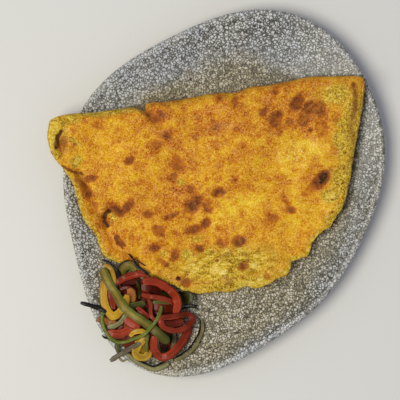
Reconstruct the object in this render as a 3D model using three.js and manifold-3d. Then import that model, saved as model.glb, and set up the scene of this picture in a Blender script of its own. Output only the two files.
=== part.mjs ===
// A folded omelette served on a pebble-shaped stoneware plate, with a small heap of pepper and
// courgette shreds beside it. Three solids: the plate, the omelette and the heap.
// Millimetres, +Z up. The origin is the middle of the plate's flat foot, where it stands. +Y runs from
// the omelette's open edge towards its fold, and the plate is longest that way.
import * as THREE from "three";
import { mergeVertices } from "three/addons/utils/BufferGeometryUtils.js";
import Module from "manifold-3d";

const wasm = await Module();
wasm.setup();

// The plate. Each lobe bends its round outline: how many times round, how far, and the peak in degrees.
const PLATE = {
  meanRadius: 124.7,
  lobes: [
    [2, 13.3, 61],
    [3, 4.2, 24],
    [4, 4.4, -24],
    [5, 1.1, 23],
    [6, 1.1, 8],
  ],
  wellHeight: 6.5, // top of the flat middle, above the table
  rimHeight: 20,
  wellShare: 0.5, // share of the radius that is flat
  footShare: 0.56,
  footStep: 1.2,
  wall: 4.6,
  lipRadius: 2.3,
  columns: 88,
};

// The omelette: a round of egg folded once. Its outline is six soft-cornered sides about its middle,
// each the direction it faces, in degrees, and its distance.
const OMELETTE = {
  middle: [-6.9, 5.6],
  sides: [
    [97.7, 62.2], // the fold
    [350.4, 100.4], // right end
    [313.8, 84.5], // the open edge, in three
    [276.1, 83.5],
    [248, 83.5],
    [202.3, 97.6], // left end
  ],
  cornerSharpness: 26,
  restGap: 0.6, // clear of the plate
  rimGap: 2.6, // how much more where it bends over the rim
  foldThickness: 22,
  openThickness: 12.5,
  leafThickness: 5,
  leafGap: 1.5,
  slitDepth: 13,
  overhangDroop: 0.012,
  columns: 104,
};

// Where the outline departs from its sides: direction in degrees, half width in degrees, height in mm.
const EDGE_BUMPS = [
  [215, 4, 1.2],
  [207, 8, -2.2],
  [196, 7, 1.4],
  [183, 6, -1.2],
  [171, 4, 4.8], // the lobe that hangs over the rim
  [165.5, 4, 3.4],
  [161, 3.5, -2.4],
  [155.5, 3, 0.2],
  [150, 4, -2.2],
  [141, 5, -1.2],
  [134.2, 2, -5.4], // the split in the fold
  [127, 3.5, 0.9],
  [92, 12, 1.4],
  [67, 4, 2.8],
  [62, 4, 1.6],
  [55, 5, 2.4],
  [46, 7, 6],
  [33.5, 3, -2],
  [325, 3.2, 1.5], // ripples of the open edge
  [321, 3.4, 4.4],
  [314.5, 2.2, -2],
  [311, 4, 3.2],
  [307, 4, 3.6],
  [298, 4, 1.4],
  [287, 3.5, -1.2],
  [271, 3, -0.8],
  [263.5, 3.5, 1.8],
];

// Where the upper leaf stops short of the lower one: from and to in degrees, softness, and how far.
const LEAF_STEPS = [
  [179, 226, 5, 12.5], // the wide pale border at the lower left
  [157, 168, 4, 12], // the lobe's curl
  [25, 35, 3.5, 7.5], // right end of the fold
  [197.5, 199.5, 1.6, 4.5], // the tear in the upper leaf
];
// Where the lower leaf's border curls up round the end of the upper one, measured the same way.
const CURLS = [
  [156, 169, 5, 8],
  [24, 36, 4, 5.5],
];
const FOLD_SPAN = [34, 156, 5]; // where the two leaves are joined, in degrees, and its softness

// Dents and swellings in the top: place from the omelette's middle, radius and height.
const TOP_RELIEF = [
  [-42, 47, 7, -3.5], // pit behind the split
  [-34, 56, 8, 1.5],
  [-74, -20, 7, -2.5], // hollow beside the tear
  [50, -58, 17, 2.6], // bulge near the open edge
  [-5, -60, 16, -2.4],
  [22, -46, 9, -1.4],
  [78, 0, 8, -1.2],
  [-95, 8, 9, -1.6],
];
const SWELL = { count: 4, longest: 74, share: 0.015, turn: 137.5 };

// The heap of shreds: a low mound that the shreds lie on.
const HEAP = {
  middle: [-58, -93],
  radius: 25,
  height: 12,
  gap: 0.6,
  columns: 28,
  clearance: 1.4, // between a shred and the plate or the omelette
  press: 0.4, // share of its thickness that a shred settles into what it lies on
  stiffness: 12, // how many times its heights are evened out
  step: 1.5, // spacing of the points that a shred's height is worked out at
  facet: 6.5, // length of one facet of a shred
};

// Every shred, the lowest first: width, thickness, the route of its middle, and whether it is a ring.
const SHREDS = [
  [8.9, 1.6, [[-35, -82], [-29, -82], [-25, -81], [-21, -82]]],
  [3.7, 1.8, [[-14, -98], [-14, -106], [-17, -114], [-22, -121], [-28, -125], [-35, -128]]],
  [3.7, 1.8, [[-71, -122], [-67, -125], [-62, -129], [-56, -132], [-50, -134], [-45, -133], [-39, -130]]],
  [1.9, 1.6, [[-76, -125], [-73, -128], [-70, -127]]],
  [3.7, 1.8, [[-77, -113], [-77, -117], [-76, -122]]],
  [1.9, 1.6, [[-88, -109], [-86, -111], [-82, -111]]],
  [5.2, 3, [[-92, -97], [-88, -98], [-82, -100], [-76, -101]]],
  [6.7, 3, [[-57, -68], [-56, -74], [-55, -81]]],
  [8.9, 2.6, [[-51, -85], [-43, -89], [-36, -90]]],
  [4.4, 3, [[-33, -83], [-32, -92], [-31, -102]]],
  [4.4, 3, [[-47, -99], [-40, -102], [-33, -103]]],
  [6.7, 3.2, [[-84, -107], [-76, -108], [-70, -106], [-62, -102]]],
  [5.9, 3.2, [[-71, -95], [-67, -99], [-60, -103]]],
  [5.2, 3, [[-56, -110], [-60, -115], [-63, -120], [-62, -124], [-56, -125], [-52, -120]]],
  [3, 2, [[-54, -106], [-55, -114], [-55, -121]]],
  [2.6, 2, [[-46, -108], [-47, -115], [-45, -122]]],
  [3, 1.8, [[-42, -109], [-42, -116], [-41, -122]]],
  [3.3, 2, [[-35, -106], [-35, -114], [-37, -121]]],
  [
    5.9,
    3.8,
    [
      [-23, -99], [-25, -106], [-28, -113], [-33, -119], [-39, -124],
      [-45, -125], [-49, -120], [-50, -115], [-49, -109],
    ],
  ],
  [3.7, 2.4, [[-67, -109], [-64, -106], [-59, -105], [-55, -106]]],
  [3.7, 1.8, [[-84, -103], [-79, -102], [-74, -99], [-71, -95], [-69, -91]]],
  [4.4, 3, [[-76, -73], [-73, -77], [-68, -81]]],
  [4.7, 3, [[-73, -78], [-70, -75], [-66, -76], [-65, -81], [-66, -87]]],
  [2.6, 1.8, [[-63, -71], [-61, -77], [-62, -83]]],
  [5.9, 1.8, [[-68, -87], [-62, -87], [-56, -85]]],
  [4.4, 3, [[-62, -88], [-58, -92], [-53, -96]]],
  [3.7, 1.8, [[-52, -77], [-45, -78], [-38, -81]]],
  [3, 1.8, [[-52, -85], [-45, -84], [-37, -85]]],
  [3, 3, [[-54, -82], [-52, -86], [-52, -91], [-51, -95], [-47, -99]]],
  [3.7, 3, [[-59, -79], [-53, -80], [-46, -81], [-39, -83], [-33, -86]]],
  [5.5, 3.8, [[-77, -72], [-72, -68], [-67, -66], [-62, -65], [-56, -66]]],
  [6.2, 3.8, [[-58, -69], [-51, -69], [-45, -71], [-39, -75], [-34, -80], [-32, -86], [-34, -93]]],
  [
    4.1,
    3.8,
    [
      [-44, -96], [-36, -95], [-30, -94], [-24, -94], [-21, -98],
      [-24, -102], [-30, -105], [-37, -105], [-43, -102],
    ],
    true,
  ],
  [5.9, 3, [[-82, -73], [-81, -81], [-80, -90]]],
  [3.7, 1.8, [[-78, -60], [-76, -65], [-76, -71]]],
  [3.7, 2.2, [[-87, -57], [-82, -60], [-80, -65], [-79, -72]]],
  [5.2, 3, [[-86, -68], [-87, -75], [-87, -82], [-85, -89], [-80, -95], [-75, -92], [-71, -86], [-69, -79]]],
  [3.3, 2.4, [[-104, -85], [-97, -87], [-91, -89], [-85, -92]]],
  [2.7, 1.6, [[-69, -48], [-65, -52], [-62, -56], [-59, -61], [-54, -65]]],
  [3.8, 2, [[-82, -128], [-76, -124], [-71, -121], [-65, -117], [-59, -114]]],
  [
    6.7,
    2.4,
    [
      [-88, -60], [-85, -67], [-81, -74], [-76, -81], [-71, -88],
      [-65, -93], [-59, -97], [-52, -102], [-45, -108], [-39, -114],
    ],
  ],
  [
    2.7,
    2.2,
    [
      [-88, -92], [-88, -99], [-86, -105], [-82, -111], [-77, -114], [-71, -114],
      [-64, -111], [-57, -108], [-52, -103], [-48, -98], [-45, -92], [-44, -87],
    ],
  ],
];

const clamp = THREE.MathUtils.clamp;
const lerp = THREE.MathUtils.lerp;
const rad = THREE.MathUtils.degToRad;
const smooth = (low, high, x) => THREE.MathUtils.smoothstep(x, low, high);

// The turn from one direction to another, in degrees from -180 to 180.
const turn = (from, to) => ((((to - from + 180) % 360) + 360) % 360) - 180;

// 1 between two directions, falling to 0 over the softness on either side.
function span(angle, [from, to, soft]) {
  const half = (to - from) / 2;
  return 1 - smooth(half, half + soft, Math.abs(turn(from + half, angle)));
}

const bell = (distance, width) => Math.exp(-((distance / width) ** 2));

// ---- the plate ----

function plateRadius(angle) {
  return PLATE.lobes.reduce(
    (r, [times, far, peak]) => r + far * Math.cos(times * (angle - rad(peak))),
    PLATE.meanRadius,
  );
}

// Height of the plate's upper side at a share of the way out to its lip.
function plateHeight(share) {
  const rise = clamp((share - PLATE.wellShare) / (1 - PLATE.wellShare), 0, 1);
  return lerp(PLATE.wellHeight, PLATE.rimHeight, rise ** 2);
}

function plateTopAt(x, y) {
  const out = plateRadius(Math.atan2(y, x)) - PLATE.lipRadius;
  return plateHeight(Math.hypot(x, y) / out);
}

// How far a point lies outside the plate's outline, negative inside it.
const beyondPlate = (x, y) => Math.hypot(x, y) - plateRadius(Math.atan2(y, x));

function plateColumn(angle) {
  const out = plateRadius(angle) - PLATE.lipRadius;
  const at = (r, z) => [r * Math.cos(angle), r * Math.sin(angle), z];
  const top = [0.25, 0.5, 0.6, 0.7, 0.8, 0.87, 0.94, 1].map((s) => at(out * s, plateHeight(s)));
  const lip = [45, 0, -45].map((a) =>
    at(
      out + PLATE.lipRadius * Math.cos(rad(a)),
      PLATE.rimHeight + PLATE.lipRadius * (Math.sin(rad(a)) - 1),
    ),
  );
  const under = [0.97, 0.86, 0.74, 0.63].map((s) => at(out * s, plateHeight(s) - PLATE.wall));
  const foot = [
    at(out * PLATE.footShare + PLATE.footStep, PLATE.footStep),
    at(out * PLATE.footShare, 0),
    at(out * 0.3, 0),
  ];
  return [...top, ...lip, ...under, ...foot];
}

// ---- the omelette ----

// Radius of the lower leaf in a direction: the soft minimum of the distances to its sides.
function edgeRadius(degrees) {
  const power = OMELETTE.cornerSharpness;
  const sum = OMELETTE.sides.reduce((total, [faces, distance]) => {
    const c = Math.cos(rad(degrees - faces));
    return c > 0 ? total + (c / distance) ** power : total;
  }, 0);
  const bumps = EDGE_BUMPS.reduce(
    (total, [at, width, height]) => total + height * bell(turn(at, degrees), width),
    0,
  );
  return sum ** (-1 / power) + bumps;
}

const total = (table, degrees) => table.reduce((sum, row) => sum + row[3] * span(degrees, row), 0);
// 1 where the two leaves are apart, 0 along the fold.
function openness(degrees) {
  const open = 1 - span(degrees, FOLD_SPAN);
  return open < 0.05 ? 0 : open;
}

// Radius of the upper leaf, which meets the lower one where the fold begins.
const upperRadius = (degrees) =>
  edgeRadius(degrees) - total(LEAF_STEPS, degrees) * smooth(0, 0.4, openness(degrees));

// Underside of the omelette: it lies on the plate, and droops a little past the rim.
function restHeight(x, y) {
  const beyond = beyondPlate(x, y);
  return (
    plateTopAt(x, y) +
    OMELETTE.restGap +
    OMELETTE.rimGap * bell(beyond + 5, 12) -
    OMELETTE.overhangDroop * Math.max(0, beyond - 4) ** 2
  );
}

// Long gentle swells of the cooked surface, each shorter and lower than the one before.
function swells(x, y) {
  let height = 0;
  for (let i = 0; i < SWELL.count; i++) {
    const length = SWELL.longest / (1 + 0.42 * i);
    const way = rad(SWELL.turn * i);
    const along = x * Math.cos(way) + y * Math.sin(way);
    height += SWELL.share * length * Math.sin((2 * Math.PI * along) / length + 1.7 * i);
  }
  return height;
}

// Height of the omelette's top over its underside, away from its rounded edges.
function thickness(x, y) {
  const [mx, my] = OMELETTE.middle;
  const [foldFaces, foldDistance] = OMELETTE.sides[0];
  const dx = x - mx;
  const dy = y - my;
  const inward = foldDistance - dx * Math.cos(rad(foldFaces)) - dy * Math.sin(rad(foldFaces));
  const along = Math.abs(dx * Math.sin(rad(foldFaces)) - dy * Math.cos(rad(foldFaces)));
  const full =
    (1 - smooth(20, 125, inward)) * (1 - 0.72 * smooth(55, 120, along));
  const slump = 0.33 * (plateTopAt(x, y) - PLATE.wellHeight);
  const relief = TOP_RELIEF.reduce(
    (sum, [rx, ry, radius, height]) => sum + height * bell(Math.hypot(dx - rx, dy - ry), radius),
    swells(dx, dy),
  );
  return lerp(OMELETTE.openThickness, OMELETTE.foldThickness, full) - slump + relief;
}

// The measures of the rounded edges in a direction.
function edges(degrees) {
  const open = openness(degrees);
  const outer = edgeRadius(degrees);
  const upper = upperRadius(degrees);
  const [mx, my] = OMELETTE.middle;
  const c = Math.cos(rad(degrees));
  const s = Math.sin(rad(degrees));
  const at = (r, z) => [mx + r * c, my + r * s, z];
  const rest = (r) => restHeight(mx + r * c, my + r * s);
  const top = (r) => rest(r) + thickness(mx + r * c, my + r * s);
  const round = lerp(11, 6, open); // how far in the top's rounding starts
  const shoulder = upper - round;
  const leaf = OMELETTE.leafThickness;
  const nose = rest(outer) + 0.46 * (top(shoulder) - rest(outer));
  const tip = lerp(nose, rest(upper) + leaf + OMELETTE.leafGap + 2.8, open);
  const lowTip = lerp(nose, rest(outer) + leaf / 2 + 0.55 * total(CURLS, degrees), open);
  return { open, outer, upper, at, rest, top, round, shoulder, leaf, tip, lowTip };
}

function omeletteColumn(degrees) {
  const e = edges(degrees);
  const rings = [0.16, 0.32, 0.47, 0.6, 0.72, 0.83, 0.92, 1];
  const crown = rings.map((share) => e.at(e.shoulder * share, e.top(e.shoulder * share)));
  const topDrop = e.top(e.shoulder) - e.tip;
  const upperLip = [62, 32, 0].map((a) =>
    e.at(e.shoulder + e.round * Math.cos(rad(a)), e.tip + topDrop * Math.sin(rad(a))),
  );
  // The slit between the leaves, which closes to a point at each end of the fold.
  const lip = 2.6 * e.open;
  const curl = total(CURLS, degrees) * e.open;
  const border = Math.max(0, e.outer - e.upper) + 1.5 * e.open;
  const floor = (r) => Math.min(e.tip, lerp(e.tip, e.rest(r) + e.leaf, e.open));
  const depth = OMELETTE.slitDepth * e.open;
  const inner = e.upper - depth;
  const edge = e.outer - lip;
  const slit = [
    e.at(e.upper - 0.3 * lip, e.tip - 0.85 * lip),
    e.at(e.upper - lip, e.tip - 1.1 * lip),
    e.at(inner, lerp(e.tip, floor(inner) + 1, e.open)),
    e.at(inner - 0.5 * e.open, floor(inner)),
    e.at(edge - border, floor(edge - border)),
    e.at(edge - 0.5 * border, floor(edge - 0.5 * border) + 0.8 * curl),
    e.at(edge, floor(edge) + curl),
  ];
  const lowerTop = floor(edge) + curl - e.lowTip;
  const lowerDrop = e.lowTip - e.rest(e.outer - e.round / 2);
  const lowRound = lerp(10, 2.6, e.open);
  const underLip = e.outer - 0.3 * lowRound;
  const lowerLip = [
    e.at(e.outer - 0.3 * lip, e.lowTip + 0.7 * lowerTop),
    e.at(e.outer, e.lowTip),
    e.at(underLip, Math.max(e.lowTip - 0.7 * lowerDrop, e.rest(underLip) + 0.3)),
    e.at(e.outer - lowRound, e.rest(e.outer - lowRound)),
  ];
  const bottom = [0.96, 0.91, 0.85, 0.75, 0.5, 0.25].map((share) => {
    const r = (e.outer - lowRound) * share;
    return e.at(r, e.rest(r));
  });
  return [...crown, ...upperLip, ...slit, ...lowerLip, ...bottom];
}

// Height of whatever food or dish lies under a shred at a point.
function servedHeight(x, y) {
  const [mx, my] = OMELETTE.middle;
  const r = Math.hypot(x - mx, y - my);
  const degrees = THREE.MathUtils.radToDeg(Math.atan2(y - my, x - mx));
  const e = edges(degrees);
  if (r > e.outer + 1) return plateTopAt(x, y);
  if (r > e.upper + 1) return e.rest(r) + e.leaf;
  const out = clamp((r - e.shoulder) / e.round, 0, 1);
  return lerp(e.tip, e.top(Math.min(r, e.shoulder)), Math.sqrt(1 - out * out));
}

// ---- solids ----

// A closed skin from columns of points, each running from the top pole to the bottom pole.
function closedSkin(columns, top, bottom) {
  const corners = [];
  const same = (a, b) => Math.hypot(a[0] - b[0], a[1] - b[1], a[2] - b[2]) < 1e-3;
  const face = (a, b, c) => {
    if (!same(a, b) && !same(b, c) && !same(c, a)) corners.push(...a, ...b, ...c);
  };
  columns.forEach((column, i) => {
    const next = columns[(i + 1) % columns.length];
    const last = column.length - 1;
    face(top, column[0], next[0]);
    for (let j = 0; j < last; j++) {
      face(column[j], column[j + 1], next[j + 1]);
      face(column[j], next[j + 1], next[j]);
    }
    face(column[last], bottom, next[last]);
  });
  const geometry = new THREE.BufferGeometry();
  geometry.setAttribute("position", new THREE.Float32BufferAttribute(corners, 3));
  return mergeVertices(geometry, 1e-3);
}

function solidOf(geometry) {
  return new wasm.Manifold(
    new wasm.Mesh({
      numProp: 3,
      vertProperties: geometry.attributes.position.array,
      triVerts: new Uint32Array(geometry.index.array),
    }),
  );
}

function geometryOf(solid) {
  const mesh = solid.getMesh();
  const geometry = new THREE.BufferGeometry();
  geometry.setAttribute("position", new THREE.Float32BufferAttribute(mesh.vertProperties, 3));
  geometry.setIndex(new THREE.BufferAttribute(mesh.triVerts, 1));
  return geometry;
}

const around = (count, make) => Array.from({ length: count }, (_, i) => make((360 * i) / count));

function plate() {
  const columns = around(PLATE.columns, (degrees) => plateColumn(rad(degrees)));
  return closedSkin(columns, [0, 0, PLATE.wellHeight], [0, 0, 0]);
}

function omelette() {
  const [mx, my] = OMELETTE.middle;
  const rest = restHeight(mx, my);
  const columns = around(OMELETTE.columns, omeletteColumn);
  return closedSkin(columns, [mx, my, rest + thickness(mx, my)], [mx, my, rest]);
}

// ---- the heap of shreds ----

const moundRise = (share) => HEAP.height * Math.max(0, 1 - share ** 2) ** 0.6;

function mound() {
  const [mx, my] = HEAP.middle;
  const rest = (x, y) => plateTopAt(x, y) + HEAP.gap;
  const columns = around(HEAP.columns, (degrees) => {
    const at = (share, lift) => {
      const x = mx + HEAP.radius * share * Math.cos(rad(degrees));
      const y = my + HEAP.radius * share * Math.sin(rad(degrees));
      return [x, y, rest(x, y) + lift];
    };
    const crown = [0.35, 0.65, 0.88, 0.98].map((share) => at(share, moundRise(share)));
    return [...crown, at(1, 0.8), at(0.97, 0), at(0.5, 0)];
  });
  return closedSkin(columns, [mx, my, rest(mx, my) + HEAP.height], [mx, my, rest(mx, my)]);
}

// A height map of what lies under the shreds, in cells of one millimetre.
const MAP = { left: -120, low: -150, wide: 116, deep: 112 };

function startMap() {
  const [mx, my] = HEAP.middle;
  const map = new Float32Array(MAP.wide * MAP.deep);
  for (let j = 0; j < MAP.deep; j++)
    for (let i = 0; i < MAP.wide; i++) {
      const x = MAP.left + i;
      const y = MAP.low + j;
      const share = Math.hypot(x - mx, y - my) / HEAP.radius;
      const onMound = plateTopAt(x, y) + HEAP.gap + moundRise(share) - 1;
      const onFood = servedHeight(x, y) + HEAP.clearance;
      map[j * MAP.wide + i] = share < 1 ? Math.max(onFood, onMound) : onFood;
    }
  return map;
}

// Calls act with every cell under a shred at one point of its route.
function cellsUnder(x, y, side, width, act) {
  for (let across = -width / 2; across <= width / 2; across += 0.7) {
    const i = clamp(Math.round(x + side.x * across - MAP.left), 0, MAP.wide - 1);
    const j = clamp(Math.round(y + side.y * across - MAP.low), 0, MAP.deep - 1);
    act(j * MAP.wide + i);
  }
}

// The stiffness of a shred: its heights are spread out along it, and never drop under what it lies on.
function settle(heights, ring) {
  const n = heights.length;
  const pick = (list, i) => (ring ? list[(i + n) % n] : list[clamp(i, 0, n - 1)]);
  let now = heights;
  for (let pass = 0; pass < HEAP.stiffness; pass++)
    now = now.map((z, i) =>
      Math.max(heights[i], (pick(now, i - 1) + 2 * z + pick(now, i + 1)) / 4),
    );
  return now;
}

// One shred as a closed ribbon, laid on the map, which then holds it too.
function shred([width, thick, route, ring = false], map) {
  const points = route.map(([x, y]) => new THREE.Vector3(x, y, 0));
  const curve = new THREE.CatmullRomCurve3(points, ring, "centripetal");
  const fine = Math.max(4, Math.round(curve.getLength() / HEAP.step));
  const count = ring ? fine : fine + 1;
  const stations = Array.from({ length: count }, (_, i) => {
    const at = curve.getPointAt(i / fine);
    const along = curve.getTangentAt(i / fine);
    return { x: at.x, y: at.y, side: new THREE.Vector2(-along.y, along.x).normalize() };
  });
  const under = stations.map(({ x, y, side }) => {
    let high = -Infinity;
    cellsUnder(x, y, side, width, (cell) => (high = Math.max(high, map[cell])));
    return high;
  });
  const heights = settle(under, ring);
  stations.forEach(({ x, y, side }, i) =>
    cellsUnder(x, y, side, width, (cell) => {
      map[cell] = Math.max(map[cell], heights[i] + thick * (1 - HEAP.press));
    }),
  );
  const every = Math.max(2, Math.round(HEAP.facet / HEAP.step));
  const kept = stations.map((_, i) => i).filter((i) => i % every === 0 && i <= count - 1 - every / 2);
  if (!ring) kept.push(count - 1);
  const sections = kept.map((i) => {
    const { x, y, side } = stations[i];
    const half = (width / 2) * (!ring && (i === 0 || i === count - 1) ? 0.7 : 1);
    return [
      [x + side.x * half, y + side.y * half, heights[i]],
      [x - side.x * half, y - side.y * half, heights[i]],
      [x - side.x * half, y - side.y * half, heights[i] + thick],
      [x + side.x * half, y + side.y * half, heights[i] + thick],
    ];
  });
  return ribbon(sections, ring);
}

// A closed band through four-cornered sections, capped unless it is a ring.
function ribbon(sections, ring) {
  const positions = sections.flat(2);
  const index = [];
  const bands = ring ? sections.length : sections.length - 1;
  for (let i = 0; i < bands; i++) {
    const a = 4 * i;
    const b = 4 * ((i + 1) % sections.length);
    for (let k = 0; k < 4; k++) {
      const l = (k + 1) % 4;
      index.push(a + k, b + l, a + l, a + k, b + k, b + l);
    }
  }
  if (!ring) {
    const z = 4 * (sections.length - 1);
    index.push(0, 1, 2, 0, 2, 3, z, z + 2, z + 1, z, z + 3, z + 2);
  }
  const geometry = new THREE.BufferGeometry();
  geometry.setAttribute("position", new THREE.Float32BufferAttribute(positions, 3));
  geometry.setIndex(index);
  return geometry;
}

// The mound and its shreds joined, without loose scraps or sealed hollows.
function heap() {
  const map = startMap();
  const joined = SHREDS.reduce((sum, row) => sum.add(solidOf(shred(row, map))), solidOf(mound()));
  const bodies = joined.decompose();
  const largest = bodies.reduce((a, b) => (b.volume() > a.volume() ? b : a));
  return geometryOf(largest);
}

function part(name, geometry, color, roughness) {
  const mesh = new THREE.Mesh(
    geometry,
    new THREE.MeshStandardMaterial({ color, roughness, metalness: 0 }),
  );
  mesh.name = name;
  return mesh;
}

const dish = new THREE.Group();
dish.add(
  part("plate", plate(), 0x8b897f, 0.35),
  part("omelette", omelette(), 0xd59a2c, 0.5),
  part("shred_heap", heap(), 0xa83a1e, 0.35),
);

export default dish;
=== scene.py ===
"""A folded omelette on a speckled stoneware plate, with a heap of pepper and courgette shreds.

Millimetres are used for shapes, and turned into metres where a mesh or a curve is made. Materials and
geometry trees read places in metres. The frame is the plate's: the origin is the middle of its flat
foot, +Z is up and +Y points at the omelette's fold.
"""

import math
from types import SimpleNamespace

import bmesh
import bpy
import numpy as np
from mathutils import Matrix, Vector


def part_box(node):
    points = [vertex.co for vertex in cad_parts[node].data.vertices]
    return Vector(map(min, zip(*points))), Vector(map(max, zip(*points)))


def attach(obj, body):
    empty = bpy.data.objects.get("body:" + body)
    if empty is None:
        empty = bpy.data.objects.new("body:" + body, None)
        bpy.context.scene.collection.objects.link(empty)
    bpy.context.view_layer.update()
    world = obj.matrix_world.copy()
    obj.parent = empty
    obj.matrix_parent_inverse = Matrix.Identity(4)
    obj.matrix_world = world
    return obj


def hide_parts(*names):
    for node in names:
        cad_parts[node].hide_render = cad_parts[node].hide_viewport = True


bl_info = {
    "name": "Plated omelette",
    "version": (1, 0, 0),
    "blender": (4, 5, 0),
    "location": "View3D > Sidebar > Omelette",
    "description": "Makes a folded omelette on its plate, with a heap of pepper shreds",
    "category": "Object",
}

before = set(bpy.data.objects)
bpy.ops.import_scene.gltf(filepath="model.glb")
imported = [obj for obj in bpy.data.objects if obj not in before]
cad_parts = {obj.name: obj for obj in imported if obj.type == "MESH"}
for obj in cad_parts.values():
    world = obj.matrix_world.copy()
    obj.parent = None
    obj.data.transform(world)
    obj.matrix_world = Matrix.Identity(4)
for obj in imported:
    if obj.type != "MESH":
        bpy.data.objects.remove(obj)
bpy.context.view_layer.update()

MM = 0.001
TURN = 2 * math.pi
BODY = "root"

# The plate, and the lobes of its outline: times round, how far each bends it, and its peak in degrees.
PLATE_RADIUS = 124.7
PLATE_LOBES = [(2, 13.3, 61), (3, 4.2, 24), (4, 4.4, -24), (5, 1.1, 23), (6, 1.1, 8)]
WELL_HEIGHT = 6.5
RIM_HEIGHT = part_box("plate")[1].z / MM
WELL_SHARE, FOOT_SHARE, FOOT_STEP = 0.5, 0.56, 1.2
LIP_RADIUS = 2.3
PLATE_ROWS = 97
# The shares of the rows between which its top, lip, underside, step and foot run, and the step's start.
STRETCHES, STEP_START = (0, 0.5, 0.62, 0.84, 0.87, 1), (0.83, 0.84)

# The omelette's outline: the direction each side faces, in degrees, and its distance from the middle.
MIDDLE = (-6.9, 5.6)
SIDES = [(97.7, 62.2), (350.4, 100.4), (313.8, 84.5), (276.1, 83.5), (248, 83.5), (202.3, 97.6)]
CORNER_SHARPNESS = 26
# Where it departs from its sides: direction and half width in degrees, height.
EDGE_BUMPS = [
    (215, 4, 1.2), (207, 8, -2.2), (196, 7, 1.4), (183, 6, -1.2), (171, 4, 4.8), (165.5, 4, 3.4),
    (161, 3.5, -2.4), (155.5, 3, 0.2), (150, 4, -2.2), (141, 5, -1.2), (134.2, 2, -5.4),
    (127, 3.5, 0.9), (92, 12, 1.4), (67, 4, 2.8), (62, 4, 1.6), (55, 5, 2.4), (46, 7, 6), (33.5, 3, -2),
    (325, 3.2, 1.5), (321, 3.4, 4.4), (314.5, 2.2, -2), (311, 4, 3.2), (307, 4, 3.6), (298, 4, 1.4),
    (287, 3.5, -1.2), (271, 3, -0.8), (263.5, 3.5, 1.8),
]
# Where the upper leaf stops short of the lower one: from, to and softness in degrees, and how far.
LEAF_STEPS = [
    (179, 226, 5, 9.5), (158, 170, 4, 9.5), (25, 35, 3.5, 2.5), (197.5, 199.5, 1.6, 4.5),
]
CURLS = [(157, 171, 5, 4.5), (24, 36, 4, 4)]
FOLD_SPAN = (34, 156, 5)
RAGGED_WAVES = [(17, 0.5, 75), (31, 0.42, 40), (47, 0.3, 10), (83, 0.17, 95), (131, 0.1, 200)]
# How the top falls away from the fold, towards the fold's ends and over the plate's rising rim.
FOLD_FALL, FOLD_ENDS, END_DROP, SLUMP = (20, 125), (55, 120), 0.72, 0.33
# Dents and swellings of the top: place from the middle, radius and height.
TOP_RELIEF = [
    (-42, 47, 7, -3.5), (-34, 56, 8, 1.5), (-74, -20, 7, -2.5), (50, -58, 17, 2.6), (-5, -60, 16, -2.4),
    (22, -46, 9, -1.4), (78, 0, 8, -1.2), (-95, 8, 9, -1.6),
]
SWELLS, LONGEST_SWELL, SWELL_SHARE, SWELL_TURN = 4, 74, 0.015, 137.5
REST_GAP, RIM_GAP, OVERHANG_DROOP = 0.6, 2.6, 0.012
LEAF_GAP, SLIT_DEPTH = 1.5, 13
# The rounded edges: of the top, at the fold and at the open edge, and of both leaves' lips there.
TOP_ROUNDING, LIP_ROUNDING, NOSE_SHARE, TIP_RISE = (11, 6), 2.6, 0.46, 2.8
# The rings of faces round the shoulder, by their slope, and under the omelette, by share of its radius.
SHOULDER = [78, 66, 54, 42, 30, 18, 8, 0]
UNDERSIDE = [1, 0.97, 0.93, 0.88, 0.8, 0.65, 0.45, 0.2]
# Small bumps of the fried egg and of the heap's core: height, size and seed.
EGG_BUMPS = [(0.7, 12, 3), (0.36, 5.2, 5), (0.13, 2.6, 8), (0.07, 1.5, 9)]
CORE_BUMPS = [(1.1, 5, 21), (0.6, 2.4, 22)]

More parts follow.
